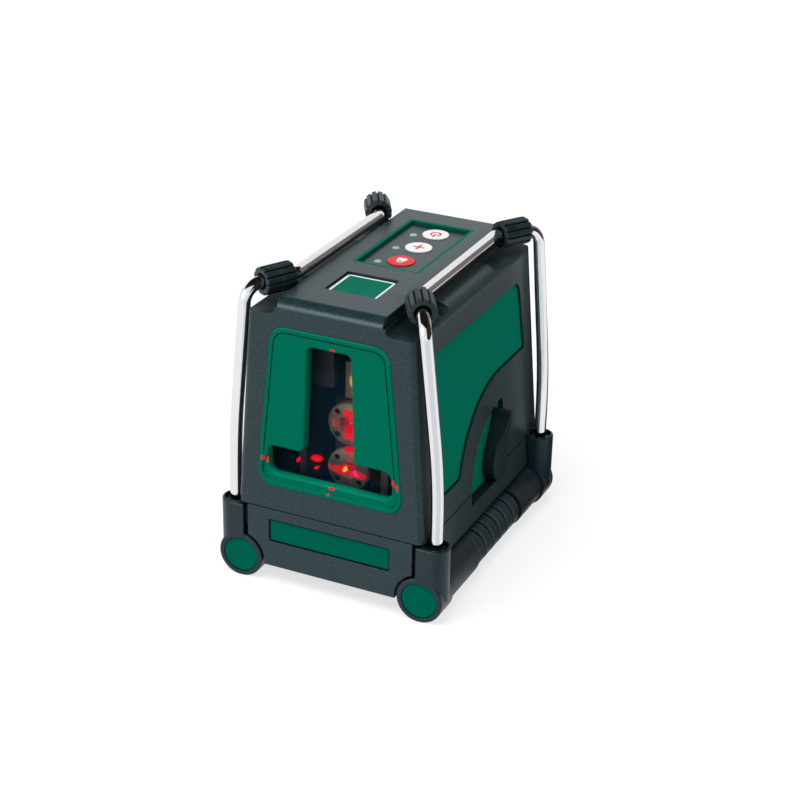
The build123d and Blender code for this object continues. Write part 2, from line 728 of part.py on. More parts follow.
# Front, plates and panels
def front_bezel():
    """Green bezel: a rim seated in the case's front, with the T window and a stepped foot."""
    rim_back_y = front_y + bezel_rim_depth
    rim = extrude(front_plane(rim_back_y) * bezel_outline(), amount=bezel_rim_depth + bezel_proud)
    rim = fillet(rim.faces().sort_by(Axis.Y)[0].edges(), bezel_edge_radius)
    back_y = front_y - bezel_proud + bezel_thickness
    rim += extrude(front_plane(back_y) * bezel_outline(bezel_ledge + touch_gap), amount=back_y - rim_back_y)
    groove = bezel_outline(groove_inset) - bezel_outline(groove_inset + groove_width)
    rim -= extrude(front_plane(front_y - bezel_proud + groove_depth) * groove, amount=wall)
    bar_z = seam_z + bar_bottom_gap
    step_window = Polygon((-bezel_bottom_half, seam_z), (bezel_bottom_half, seam_z),
                          (bezel_bottom_half, bar_z + step_rise), (-bezel_bottom_half, bar_z + step_rise))
    step = bezel_outline(groove_inset + groove_width / 2) & step_window
    rim -= extrude(front_plane(front_y - bezel_proud + step_depth) * step, amount=wall)
    rim -= extrude(front_plane(front_y + 2 * wall) * window_outline(), amount=4 * wall)
    outline = window_outline().wire()
    step_y = front_y - bezel_proud + step_depth
    lip = [edge for edge in rim.edges()
           if outline.distance_to(Vertex(edge.center().X, edge.center().Z, 0)) < touch_gap
           and edge.center().Y < step_y + touch_gap and edge.bounding_box().size.Y < touch_gap]
    return fillet(lip, window_edge_radius)


def window_pane():
    """Clear pane behind the bezel."""
    pane_front_y = front_y - bezel_proud + bezel_thickness
    sheet = front_plane(pane_front_y + pane_thickness) * bezel_outline(pane_inset)
    return extrude(sheet, amount=pane_thickness)


def base_name_plate():
    """Bare green plate in the base's front."""
    return extrude(front_plane(name_back_y) * name_outline(), amount=name_thickness)


def top_name_plate():
    """Bare green plate in the top."""
    low_z = top_z - badge_recess - badge_thickness
    return block(touch_gap - badge_half_width, badge_half_width - touch_gap, badge_front_y + touch_gap,
                 badge_rear_y - touch_gap, low_z, top_z - badge_recess)


def side_panel(side):
    """Green panel set into one side of the case."""
    sheet = lean_plane(panel_recess + panel_thickness) * side_panel_outline()
    return mirrored(extrude(sheet, amount=panel_thickness), side, -1)


# Keypad
def keypad_frame():
    """Green rim of the keypad."""
    ring = pad_outline(pad_ledge_z, 0) - pad_outline(pad_ledge_z, pad_rim)
    return extrude(ring, amount=top_z - pad_ledge_z)


def keypad_overlay():
    """Dark sheet with holes for the buttons and lamps."""
    sheet = extrude(pad_outline(pad_ledge_z, pad_rim + touch_gap), amount=overlay_thickness)
    for y in button_ys:
        sheet -= upright(button_x, y, pad_ledge_z - wall, top_z, button_radius + loose_gap / 2)
        sheet -= upright(led_x, y + led_offset_y, pad_ledge_z - wall, top_z, led_radius + touch_gap)
    return sheet


def push_button(y):
    """One round button cap, with the flange that keeps it under the overlay and a plunger."""
    cap = upright(button_x, y, flange_z - overlay_thickness, overlay_z + button_proud, button_radius)
    cap = fillet(cap.edges().sort_by(Axis.Z)[-1], button_proud / 2)
    cap += upright(button_x, y, flange_z - overlay_thickness, flange_z, button_radius + button_flange)
    return cap + upright(button_x, y, pad_ledge_z - button_skirt, flange_z, button_radius / 3)


def switch_domes():
    """Snap domes on the keypad's board, one under each plunger."""
    return [Cone(button_radius / 2, button_radius / 4, dome_height,
                 align=(Align.CENTER, Align.CENTER, Align.MIN)).moved(Location((button_x, y, board_top_z)))
            for y in button_ys]


def indicator_leds():
    """Three lamps that stand on the keypad's board and show through the overlay."""
    lamps = []
    for y in button_ys:
        lamp = upright(led_x, y + led_offset_y, board_top_z, overlay_z + button_proud / 2, led_radius)
        lamps.append(fillet(lamp.edges().sort_by(Axis.Z)[-1], led_radius / 3))
    return lamps


def keypad_board():
    """Circuit board that hangs under the keypad."""
    front, rear = pad_front_y - board_overhang, pad_rear_y + board_overhang
    low_z = board_top_z - board_thickness
    return block(-board_half_width, board_half_width, front, rear, low_z, board_top_z)


# Lock lever
def dial_plate():
    """Green floor of the lever's recess."""
    sheet = extrude(side_plane(dial_seat_x) * offset(dial_outline(), -touch_gap), amount=dial_thickness)
    return sheet - crosswise(dial_seat_x - wall, dial_x + wall, lever_y, lever_z, shaft_radius + bush_wall)


def lever_bush():
    """Flanged bush of the lever's shaft, held where the case meets the base."""
    inner_x = dial_back_x - bush_flange
    tube = crosswise(inner_x, dial_x, lever_y, lever_z, shaft_radius + bush_wall)
    tube += crosswise(inner_x, dial_back_x, lever_y, lever_z, shaft_radius + 2 * bush_wall)
    return tube - crosswise(inner_x - wall, dial_x + wall, lever_y, lever_z, shaft_radius + touch_gap)


def lever_outline():
    """Lever in Y and Z about its axis: a round hub, an S-shaped front edge and a straight rear edge."""
    tip_front, tip_rear = (lever_tip_front, lever_length), (lever_tip_rear, lever_length)
    heel = (-lever_hub_radius, 0)
    waist = (-lever_hub_radius / 2, lever_length / 2)
    front = Spline(heel, waist, tip_front, tangents=((0, 1), (0, 1)))
    arm = make_face(front + Polyline(tip_front, tip_rear, (lever_hub_radius, 0), heel))
    return Pos(lever_y, lever_z) * (Circle(lever_hub_radius) + arm)


def lock_lever():
    """Lever whose arm rises away from the case, from the flat hub to the tip."""
    shape = extrude(side_plane(lever_x) * lever_outline(), amount=lever_tip_height)
    hub_x, tip_x = lever_x + lever_hub_height, lever_x + lever_tip_height
    rise_start, rise_end = (hub_x, lever_z + lever_hub_radius), (tip_x, lever_z + lever_length)
    low_z = lever_z - 2 * lever_hub_radius
    far_x = tip_x + wall
    above = (Polyline(rise_end, (far_x, rise_end[1]), (far_x, low_z), (hub_x, low_z), rise_start)
             + Spline(rise_start, rise_end, tangents=((0, 1), (0, 1))))
    shape -= extrude(front_plane(lever_y) * make_face(above), amount=4 * lever_hub_radius, both=True)
    return shape - crosswise(lever_x - wall, hub_x - bush_wall, lever_y, lever_z, shaft_radius)


def lever_shaft():
    """Lever's shaft, with the eccentric cam that drives the lock slide."""
    end_x = lever_x + lever_hub_height - bush_wall
    lobe = cam_offset * math.sqrt(0.5)
    shaft = crosswise(cam_x, end_x, lever_y, lever_z, shaft_radius)
    return shaft + crosswise(cam_x, cam_x + cam_width, lever_y + lobe, lever_z + lobe, cam_radius)


def slide_guides():
    """Where the lock slide's guide posts stand on the chassis."""
    y = slide_rear_y - 2.4 * pin_radius
    return [(cheek_inner * share, y) for share in (0.0, 0.75)]


def lock_slide():
    """Bar that the cam pushes forward, whose nose parks the pendulum's weight."""
    front = slide_rear_y - 5 * pin_radius
    plate = block(-slide_nose_half - pin_radius, cam_x + cam_width, front, slide_rear_y,
                  slide_z, slide_z + slide_height)
    swing = (gimbal_z - block_bottom_z + weight_height) * math.sin(math.radians(swing_degrees))
    nose_y = plumb_y + weight_radius + swing + loose_gap + slide_travel
    plate += block(-slide_nose_half, slide_nose_half, nose_y, front, slide_z, slide_z + slide_nose_height)
    for x, y in slide_guides():
        slot = SlotCenterToCenter(slide_travel + loose_gap, 2 * (pin_radius + touch_gap), rotation=90)
        place = Plane(origin=(x, y + slide_travel / 2, slide_z - wall))
        plate -= extrude(place * slot, amount=slide_nose_height + 2 * wall)
    return plate


# Guard cage
def rod_points():
    """Corner points of the right rod's front half, from the post up to the top run."""
    run_z = top_z + rod_rise
    return [(rod_x, rod_y, post_top_z - rod_insert),
            (rod_x, rod_y, seam_z + rod_bow_height),
            (rod_x - rod_lean, rod_y - rod_lean_forward, run_z - rod_corner_drop),
            (rod_top_half, -rod_flare_y, run_z)]


def cage_rod(side):
    """One chrome guard rod: two legs and the run along the top."""
    front = rod_points()
    rear = [(x, -y, z) for x, y, z in reversed(front)]
    radii = [rod_bow_radius, rod_bend_radius, rod_flare_radius]
    path = FilletPolyline(*front, *rear, radius=radii + radii[::-1])
    tube = sweep(Plane(origin=path @ 0, z_dir=path % 0) * Circle(rod_radius), path=path)
    return mirrored(tube, side, -1)


def corner_bumper(side, end):
    """Ribbed rubber bumper threaded on the rod at a corner of the case."""
    corner, flare = Vector(*rod_points()[2]), Vector(*rod_points()[3])
    along = (corner - flare).normalized()
    middle = flare + along * bumper_shift
    lobe_ring = PolarLocations(bumper_radius - bumper_lobe_radius / 4, bumper_lobes)
    lobes = Circle(bumper_radius) + lobe_ring * Circle(bumper_lobe_radius) - Circle(rod_radius)
    place = Plane(origin=middle - along * (bumper_length / 2), z_dir=along)
    ribbed = extrude(place * lobes, amount=bumper_length)
    blank = extrude(place * Circle(bumper_radius + bumper_lobe_radius), amount=bumper_length)
    blank = chamfer(blank.edges(), bumper_lobe_radius / 2)
    return mirrored(ribbed & blank, side, end)


# Feet and grips
def foot_screw(grow=0.0):
    """Screw that holds the front right foot's lug to the base."""
    y, z = rod_y, post_top_z - lug_height / 2 - post_rim_depth
    seat_x = panel_half_width - wall
    screw = bar((seat_x, y, z), (post_inner_x + screw_head_height, y, z), screw_radius + grow)
    return screw + bar((seat_x - screw_head_height, y, z), (seat_x, y, z), screw_head_radius + grow)


def corner_foot(side, end):
    """Foot with its post: a round barrel, the post that holds the rod, and a lug to the base."""
    barrel = lengthwise(foot_x, foot_front_y, post_back_y, foot_z, foot_radius)
    barrel = fillet(barrel.edges().sort_by(Axis.Y)[0], foot_edge_radius)
    plan = Pos(rod_x, rod_y) * Circle(post_radius)
    plan += Polygon((post_inner_x, rod_y - post_radius), (rod_x, rod_y - post_radius),
                    (rod_x, rod_y + post_radius), (post_inner_x, rod_y + post_radius))
    post = extrude(Plane(origin=(0, 0, foot_z)) * plan, amount=post_top_z - foot_z)
    post = fillet(post.faces().sort_by(Axis.Z)[-1].edges(), foot_edge_radius)
    shape = barrel + post
    lug_z = post_top_z - post_rim_depth
    shape += block(panel_half_width, rod_x - rod_radius, rod_y - lug_width / 2, rod_y + lug_width / 2,
                   lug_z - lug_height, lug_z)
    shape -= upright(rod_x, rod_y, post_top_z - post_rim_depth, post_top_z + wall, post_radius - post_rim)
    shape -= upright(rod_x, rod_y, post_top_z - rod_insert, post_top_z, rod_radius)
    shape -= lengthwise(foot_x, foot_front_y - wall, cap_back_y, foot_z, cap_radius + touch_gap)
    shape -= lengthwise(foot_x, post_back_y - grip_core_insert, post_back_y + wall, foot_z, grip_core_radius)
    shape -= foot_screw()
    shape -= block(0, 2 * rod_x, 2 * front_y, 0, -foot_radius, 0)
    return mirrored(shape, side, end)


def foot_cap(side, end):
    """Green disc in the outer end of a foot."""
    disc = lengthwise(foot_x, cap_back_y, foot_front_y + cap_recess, foot_z, cap_radius)
    disc = fillet(disc.edges().sort_by(Axis.Y)[0], cap_recess)
    return mirrored(disc, side, end)


def grip_sleeve(side):
    """Rubber sleeve between a front and a rear foot, with a waist of raised ribs."""
    end_y = -post_back_y
    waist_half = grip_rib_count * grip_rib_pitch / 2
    start_y = grip_rib_center_y - waist_half
    points = [(grip_core_radius, -end_y), (grip_radius, -end_y), (grip_radius, start_y)]
    groove = grip_rib_pitch - grip_rib_land
    for i in range(grip_rib_count):
        low = start_y + i * grip_rib_pitch + groove / 2
        high = low + grip_rib_land
        points += [(grip_waist_radius, low), (grip_rib_radius, low + groove / 4),
                   (grip_rib_radius, high - groove / 4), (grip_waist_radius, high)]
    points += [(grip_waist_radius, start_y + 2 * waist_half), (grip_radius, start_y + 2 * waist_half),
               (grip_radius, end_y), (grip_core_radius, end_y)]
    profile = make_face(Polyline(*[(foot_x + r, y, foot_z) for r, y in points], close=True))
    sleeve = revolve(profile, Axis((foot_x, 0, foot_z), (0, 1, 0)))
    return mirrored(sleeve, side, -1)


def grip_core(side):
    """Steel bar inside a sleeve, plugged into both feet."""
    reach = -post_back_y + grip_core_insert
    return lengthwise(side * foot_x, -reach, reach, foot_z, grip_core_radius)


# Pendulum
def chassis():
    """Inner frame: a floor plate, two cheeks that carry the gimbal, front lips and a rear bridge."""
    shape = block(-chassis_half_width, chassis_half_width, chassis_front_y, chassis_rear_y,
                  chassis_z, chassis_top_z)
    peak_z = gimbal_z + cheek_above
    lip_y = cheek_front_y + lip_thickness
    bridge_y = cheek_rear_y - 2 * lip_thickness
    for side in (-1, 1):
        low_x, high_x = sorted((side * cheek_inner, side * cheek_outer))
        shape += block(low_x, high_x, cheek_front_y, cheek_rear_y, chassis_z, peak_z)
        low_x, high_x = sorted((side * lip_inner, side * cheek_outer))
        shape += block(low_x, high_x, cheek_front_y, lip_y, peak_z - lip_height, peak_z)
    shape += block(-cheek_outer, cheek_outer, bridge_y, cheek_rear_y, gimbal_z, peak_z)
    shape -= crosswise(-2 * cheek_outer, 2 * cheek_outer, plumb_y, gimbal_z, pin_radius)
    cam_sweep = cam_radius + 2 * cam_offset
    shape -= block(cam_x - 2 * loose_gap, 2 * chassis_half_width, lever_y - cam_sweep, lever_y + cam_sweep,
                   chassis_z - wall, chassis_top_z + wall)
    for x, y in slide_guides():
        shape += upright(x, y, chassis_z, slide_z + slide_nose_height, pin_radius)
    return shape


def gimbal_ring():
    """Ring between the cheeks and the pendulum."""
    ring = upright(0, plumb_y, gimbal_z - ring_height / 2, gimbal_z + ring_height / 2, ring_outer)
    ring -= upright(0, plumb_y, gimbal_z - ring_height, gimbal_z + ring_height, ring_inner)
    reach = 2 * ring_outer
    ring -= crosswise(-reach, reach, plumb_y, gimbal_z, pin_radius + touch_gap)
    return ring - lengthwise(0, plumb_y - reach, plumb_y + reach, gimbal_z, pin_radius)


def pitch_pins():
    """Two pins fixed in the cheeks, on which the ring tips forward and back."""
    inner = ring_inner + loose_gap
    return [crosswise(side * inner, side * cheek_outer, plumb_y, gimbal_z, pin_radius) for side in (-1, 1)]


def roll_pins():
    """Two pins fixed in the ring, on which the pendulum tips sideways."""
    inner, outer = column_half_depth / 2, ring_outer - loose_gap
    return [lengthwise(0, plumb_y + end * inner, plumb_y + end * outer, gimbal_z, pin_radius)
            for end in (-1, 1)]


def slab(half_width, half_depth, z0, z1):
    """A box about the pendulum's plumb line."""
    return block(-half_width, half_width, plumb_y - half_depth, plumb_y + half_depth, z0, z1)


def pendulum_frame():
    """Pendulum's cast frame: a block that holds both lasers, hung from a column by a web with two fins."""
    half_depth = laser_half_length - laser_flange
    shape = slab(block_half_width, half_depth, block_bottom_z, block_top_z)
    shape += slab(column_half_width, column_half_depth, block_top_z, gimbal_z + 3 * pin_radius)
    web_top_z = gimbal_z - web_drop
    fin_y = laser_half_length - loose_gap
    shape += slab(web_half_width, fin_y, web_top_z - web_height, web_top_z)
    for end in (-1, 1):
        low_y, high_y = sorted((plumb_y + end * fin_y, plumb_y + end * (fin_y - fin_thickness)))
        shape += block(-web_half_width, web_half_width, low_y, high_y, block_top_z, web_top_z)
    for z in (lower_laser_z, upper_laser_z):
        shape -= lengthwise(0, plumb_y - 2 * half_depth, plumb_y + 2 * half_depth, z, laser_radius)
    inner, outer = column_half_depth / 2 - touch_gap, 2 * column_half_depth
    for end in (-1, 1):
        shape -= lengthwise(0, plumb_y + end * inner, plumb_y + end * outer, gimbal_z, pin_radius + touch_gap)
    return shape


def screw_ring(z):
    """Where the screws of a lens cap stand, in X and Z."""
    angles = [math.radians(360 * (i + 0.5) / lens_screw_count) for i in range(lens_screw_count)]
    return [(lens_screw_ring * math.cos(a), z + lens_screw_ring * math.sin(a)) for a in angles]


def lens_screw(x, z):
    """One small screw of a lens cap, sunk under the cap's face."""
    head_y = lens_front_y + lens_screw_head / 2
    neck_y = head_y + lens_screw_head
    screw = lengthwise(x, head_y, neck_y, z, lens_screw_radius)
    screw += lengthwise(x, neck_y, flange_back_y - loose_gap, z, lens_shank_radius)
    return screw - lengthwise(x, head_y - wall, head_y + lens_screw_head / 2, z, lens_screw_radius / 2)


def screw_hole(x, z):
    """Sunk hole for one small screw of a lens cap."""
    neck_y = lens_front_y + lens_screw_head * 1.5
    hole = lengthwise(x, lens_front_y - wall, neck_y, z, lens_screw_radius + touch_gap)
    return hole + lengthwise(x, neck_y, flange_back_y, z, lens_shank_radius)


def laser_barrel(z):
    """One laser's barrel, flanged in front and capped behind."""
    front = plumb_y - laser_half_length
    shape = lengthwise(0, front, plumb_y + laser_half_length + lens_cap_thickness, z, laser_radius)
    shape += lengthwise(0, front, flange_back_y, z, lens_cap_radius)
    for x, hole_z in screw_ring(z):
        shape -= screw_hole(x, hole_z)
    return shape - lengthwise(0, front - wall, plumb_y, z, lens_mouth_radius)


def lens_cap(z):
    """Round cap on the front of one laser, with a flared mouth for its line."""
    shape = lengthwise(0, lens_front_y, lens_front_y + lens_cap_thickness, z, lens_cap_radius)
    shape = chamfer(shape.edges().sort_by(Axis.Y)[0], lens_screw_head / 2)
    mouth = Cone(lens_mouth_radius, lens_bore_radius, lens_cap_thickness)
    mouth = Plane(origin=(0, lens_front_y + lens_cap_thickness / 2, z), z_dir=(0, 1, 0)) * mouth
    for x, hole_z in screw_ring(z):
        shape -= screw_hole(x, hole_z)
    return shape - mouth


def line_lens(z):
    """Glass rod that spreads one laser into a line, seated behind its cap."""
    back = lens_front_y + lens_cap_thickness
    return lengthwise(0, back, back + lens_cap_thickness, z, lens_mouth_radius)


def magnet_places():
    """Where the damping magnets sit in the weight."""
    angles = [2 * math.pi * (i + 0.5) / magnet_count for i in range(magnet_count)]
    return [(magnet_ring * math.cos(a), plumb_y + magnet_ring * math.sin(a)) for a in angles]


def counterweight():
    """Brass weight under the pendulum's block."""
    low_z = block_bottom_z - weight_height
    shape = upright(0, plumb_y, low_z, block_bottom_z, weight_radius)
    for x, y in magnet_places():
        shape -= upright(x, y, low_z - wall, low_z + magnet_height, magnet_radius)
    return shape


def damping_magnets():
    """Magnets set flush in the weight, over the damping plate."""
    low_z = block_bottom_z - weight_height
    return [upright(x, y, low_z, low_z + magnet_height, magnet_radius) for x, y in magnet_places()]


def damping_plate():
    """Copper disc on the chassis, which slows the pendulum's swing."""
    return upright(0, plumb_y, chassis_top_z, chassis_top_z + damper_thickness, damper_radius)


# Battery and base
def battery_cells():
    """Three AA cells that lie along the base."""
    cells = []
    for x in cell_xs:
        cell = lengthwise(x, cell_front_y, cell_rear_y - cell_nub, cell_z, cell_radius)
        cells.append(cell + lengthwise(x, cell_front_y, cell_rear_y, cell_z, cell_nub_radius))
    return cells


def battery_springs():
    """Contact springs between the bay's wall and the cells, as plain cones."""
    springs = []
    for x in cell_xs:
        cone = Cone(cell_nub_radius * 1.6, cell_nub_radius, bay_wall_gap)
        place = Plane(origin=(x, cell_front_y - bay_wall_gap / 2, cell_z), z_dir=(0, 1, 0))
        springs.append(place * cone)
    return springs


def battery_door():
    """Rear battery door: a plate with a hinge knuckle, contact pads and a finger notch."""
    plate = block(-door_half_width, door_half_width, door_inner_y, case_half_length, hinge_z, door_top_z)
    corner = hinge_lug + 2 * loose_gap + knuckle_half
    for side in (-1, 1):
        low_x, high_x = sorted((side * knuckle_half, side * 2 * corner))
        plate -= block(low_x, high_x, 0, 2 * case_half_length, 0, hinge_z + knuckle_radius + loose_gap)
    plate += crosswise(-knuckle_half, knuckle_half, hinge_y, hinge_z, knuckle_radius)
    for x in cell_xs:
        plate += lengthwise(x, cell_rear_y + touch_gap, door_inner_y, cell_z, cell_nub_radius)
    notch_low_z = door_top_z - 2 * knuckle_radius
    notch_y = case_half_length - door_thickness / 2
    plate -= block(-knuckle_half / 2, knuckle_half / 2, notch_y, 2 * case_half_length,
                   notch_low_z, 2 * door_top_z)
    return plate - crosswise(-2 * knuckle_half, 2 * knuckle_half, hinge_y, hinge_z,
                             hinge_pin_radius + touch_gap)


def door_hinge_pin():
    """Pin of the battery door's hinge."""
    reach = knuckle_half + loose_gap + hinge_lug
    return crosswise(-reach, reach, hinge_y, hinge_z, hinge_pin_radius)


def main_board():
    """Main circuit board over the cells, cut round the screw bosses."""
    low_z = seam_z - main_board_drop
    sheet = block(-main_board_half_width, main_board_half_width, main_board_front_y, main_board_rear_y,
                  low_z, low_z + board_thickness)
    for x, y in screw_places():
        sheet -= upright(x, y, low_z - wall, low_z + wall, screw_boss_radius + loose_gap)
    return sheet


def tripod_insert():
    """Brass insert with the tripod thread, in the base's underside."""
    tube = upright(0, plumb_y, base_bottom_z, base_bottom_z + insert_height, insert_radius)
    return tube - upright(0, plumb_y, 0, base_bottom_z + insert_height + wall, thread_radius)


def housing_screws():
    """Screws of one kind: four from the base up into the case, four from the base out into the feet."""
    screws = []
    for x, y in screw_places():
        head_z = base_bottom_z + loose_gap
        screw = upright(x, y, head_z, head_z + screw_head_height, screw_head_radius)
        screws.append(screw + upright(x, y, head_z, seam_z + screw_reach, screw_radius))
    return screws + [mirrored(foot_screw(), side, end) for side in (1, -1) for end in (-1, 1)]


# Every piece of the level under its own name
sides = {"right": 1, "left": -1}
ends = {"front": -1, "rear": 1}

nodes = {
    "upper_case": upper_case(),
    "base_tray": base_tray(),
    "front_bezel": front_bezel(),
    "window_pane": window_pane(),
    "base_name_plate": base_name_plate(),
    "top_name_plate": top_name_plate(),
    "keypad_frame": keypad_frame(),
    "keypad_overlay": keypad_overlay(),
    "power_button": push_button(button_ys[0]),
    "line_button": push_button(button_ys[1]),
    "lock_button": push_button(button_ys[2]),
    "switch_domes": switch_domes(),
    "indicator_leds": indicator_leds(),
    "keypad_board": keypad_board(),
    "dial_plate": dial_plate(),
    "lock_lever": lock_lever(),
    "lever_shaft": lever_shaft(),
    "lever_bush": lever_bush(),
    "lock_slide": lock_slide(),
    "chassis": chassis(),
    "gimbal_ring": gimbal_ring(),
    "pitch_pins": pitch_pins(),
    "roll_pins": roll_pins(),
    "pendulum_frame": pendulum_frame(),
    "lower_laser_barrel": laser_barrel(lower_laser_z),
    "upper_laser_barrel": laser_barrel(upper_laser_z),
    "lower_lens_cap": lens_cap(lower_laser_z),
    "upper_lens_cap": lens_cap(upper_laser_z),
    "line_lenses": [line_lens(z) for z in (lower_laser_z, upper_laser_z)],
    "lens_screws": [lens_screw(*place) for z in (lower_laser_z, upper_laser_z) for place in screw_ring(z)],
    "counterweight": counterweight(),
    "damping_magnets": damping_magnets(),
    "damping_plate": damping_plate(),
    "battery_cells": battery_cells(),
    "battery_springs": battery_springs(),
    "battery_door": battery_door(),
    "door_hinge_pin": door_hinge_pin(),
    "main_board": main_board(),
    "tripod_insert": tripod_insert(),
    "housing_screws": housing_screws(),
}
for side_name, side in sides.items():
    nodes["side_panel_" + side_name] = side_panel(side)
    nodes["cage_rod_" + side_name] = cage_rod(side)
    nodes["grip_sleeve_" + side_name] = grip_sleeve(side)
    nodes["grip_core_" + side_name] = grip_core(side)
    for end_name, end in ends.items():
        place = end_name + "_" + side_name
        nodes["corner_bumper_" + place] = corner_bumper(side, end)
        nodes["corner_foot_" + place] = corner_foot(side, end)
        nodes["foot_cap_" + place] = foot_cap(side, end)

os.makedirs("parts", exist_ok=True)
for name, shape in nodes.items():
    pieces = shape if isinstance(shape, list) else [shape]
    solids = [solid for piece in pieces for solid in piece.solids()]
    piece = Compound(children=solids) if len(solids) > 1 else solids[0]
    export_step(piece, os.path.join("parts", name + ".step"))
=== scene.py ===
"""Looks of the cross line laser level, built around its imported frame.

Metres, in the frame of the part: the laser window faces -Y, +X is on the right seen from the front, and
+Z is up.
"""
import json
import math

import bmesh
import bpy
import numpy
from mathutils import Matrix, Vector


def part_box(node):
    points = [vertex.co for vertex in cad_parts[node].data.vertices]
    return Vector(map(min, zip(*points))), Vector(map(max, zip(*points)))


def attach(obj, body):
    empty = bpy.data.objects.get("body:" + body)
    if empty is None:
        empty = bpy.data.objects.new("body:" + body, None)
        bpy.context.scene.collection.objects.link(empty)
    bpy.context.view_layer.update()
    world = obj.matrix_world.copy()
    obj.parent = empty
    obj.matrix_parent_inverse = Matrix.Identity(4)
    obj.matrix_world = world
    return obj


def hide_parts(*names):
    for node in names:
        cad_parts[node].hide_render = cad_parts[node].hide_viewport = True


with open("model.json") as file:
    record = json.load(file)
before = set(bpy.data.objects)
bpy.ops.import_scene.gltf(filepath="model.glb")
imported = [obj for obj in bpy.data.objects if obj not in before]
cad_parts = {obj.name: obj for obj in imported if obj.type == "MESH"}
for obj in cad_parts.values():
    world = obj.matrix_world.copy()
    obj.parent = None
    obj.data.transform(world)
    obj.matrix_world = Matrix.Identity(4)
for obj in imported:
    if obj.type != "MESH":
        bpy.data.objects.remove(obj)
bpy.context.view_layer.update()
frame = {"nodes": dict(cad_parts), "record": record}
nodes = frame["nodes"]

MM = 0.001

# Camera: solved from the straight edges of the case in an 800 pixel square picture
CAMERA_PLACE = Vector((286.95, -618.06, 385.42)) * MM
CAMERA_AZIMUTH = 24.74
CAMERA_ELEVATION = 25.49
CAMERA_ROLL = 1.25
CAMERA_FOCAL_PX = 1878.47
PICTURE_PX = 800
SENSOR_WIDTH = 36.0
CAMERA_NEAR = 0.01

# Light: a key from the upper front, a weak fill from the right, a low front-left lamp for gloss and an even
# world. Each sun has its direction, strength, angle, and whether it lights surfaces or only shows in gloss.
SUNS = (
    ("key_sun", Vector((-0.12, -0.38, 0.92)), 2.2, 40.0, "diffuse"),
    ("fill_sun", Vector((0.80, -0.35, 0.45)), 0.42, 60.0, "diffuse"),
    ("gloss_sun", Vector((-0.39, -0.88, 0.20)), 1.5, 34.0, "glossy"),
)
WORLD_SEEN = 1.0
WORLD_LIGHT = 0.45
FLOOR_HALF = 5.0
FLOOR_BOUNCE = (0.16, 0.16, 0.16, 1.0)
FLOOR_PAPER = (0.32, 0.32, 0.32, 1.0)
FLOOR_GLOW = (0.70, 0.70, 0.70, 1.0)

# Cards that only gloss sees: the colour and the four corners of each
CARD_BLACK = (0.072, 0.060, 0.051, 1.0)
CARD_GREY = (0.090, 0.090, 0.090, 1.0)
CARD_BROWN = (0.32, 0.28, 0.25, 1.0)
CARD_PALE = (0.72, 0.73, 0.75, 1.0)
CARD_TOP = 0.60
CARD_REAR = 0.49
CARD_LIFT = 0.0005
CARDS = {
    "rear_card": (CARD_BROWN, (0.18, CARD_REAR, 0.0), (1.20, CARD_REAR, 0.0),
                  (1.20, CARD_REAR, CARD_TOP), (0.18, CARD_REAR, CARD_TOP)),
    "front_card": (CARD_PALE, (0.05, -0.50, CARD_LIFT), (0.45, -0.50, CARD_LIFT),
                   (0.45, -0.07, CARD_LIFT), (0.05, -0.07, CARD_LIFT)),
    "right_card": (CARD_BLACK, (0.60, -0.60, 0.02), (0.60, CARD_REAR, 0.02),
                   (0.60, CARD_REAR, CARD_TOP), (0.60, -0.60, CARD_TOP)),
    "ceiling_card": (CARD_BLACK, (-0.70, -0.55, CARD_TOP), (0.70, -0.55, CARD_TOP),
                     (0.70, 0.60, CARD_TOP), (-0.70, 0.60, CARD_TOP)),
    "floor_card": (CARD_GREY, (0.05, -0.02, CARD_LIFT), (0.20, 0.20, CARD_LIFT),
                   (0.20, CARD_REAR, CARD_LIFT), (0.05, CARD_REAR, CARD_LIFT)),
}

# Finishes, as linear colours
CHARCOAL_DARK = (0.004, 0.014, 0.017, 1.0)
CHARCOAL_LIGHT = (0.021, 0.047, 0.055, 1.0)
FOOT_DARK = (0.005, 0.012, 0.017, 1.0)
FOOT_LIGHT = (0.010, 0.023, 0.031, 1.0)
# Painted shade: the near black that corners, grooves, the base plate's edge and the case's cavity are
# darkened to
SHADE_BLACK = (0.002, 0.003, 0.004, 1.0)
GLOSS_TINT = (0.72, 0.95, 1.0, 1.0)
GREEN_DARK = (0.0, 0.214, 0.126, 1.0)
GREEN_LIGHT = (0.0, 0.238, 0.143, 1.0)
PANEL_DARK = (0.0, 0.232, 0.142, 1.0)
PANEL_LIGHT = (0.0, 0.258, 0.160, 1.0)
CAP_DARK = (0.0, 0.166, 0.106, 1.0)
CAP_LIGHT = (0.0, 0.188, 0.122, 1.0)
PLATE_DARK = (0.0, 0.138, 0.088, 1.0)
PLATE_LIGHT = (0.0, 0.156, 0.100, 1.0)
OVERLAY_DARK = (0.008, 0.022, 0.027, 1.0)
OVERLAY_LIGHT = (0.018, 0.042, 0.050, 1.0)
LEVER_DARK = (0.003, 0.010, 0.013, 1.0)
LEVER_LIGHT = (0.006, 0.016, 0.020, 1.0)
RUBBER_DARK = (0.006, 0.011, 0.014, 1.0)
RUBBER_LIGHT = (0.014, 0.023, 0.027, 1.0)
# Painted highlight on the edges of rubber
RUBBER_HIGHLIGHT = (0.062, 0.108, 0.135, 1.0)
GRIP_DARK = (0.007, 0.014, 0.020, 1.0)
GRIP_LIGHT = (0.015, 0.025, 0.035, 1.0)
CHROME = (0.79, 0.80, 0.82, 1.0)
CHROME_WORN = (0.67, 0.67, 0.69, 1.0)
WHITE_KEY = (0.84, 0.84, 0.84, 1.0)
WHITE_KEY_WORN = (0.79, 0.79, 0.79, 1.0)
RED_KEY = (0.74, 0.014, 0.020, 1.0)
RED_KEY_WORN = (0.66, 0.012, 0.016, 1.0)
LAMP_CLEAR = (0.30, 0.34, 0.33, 1.0)
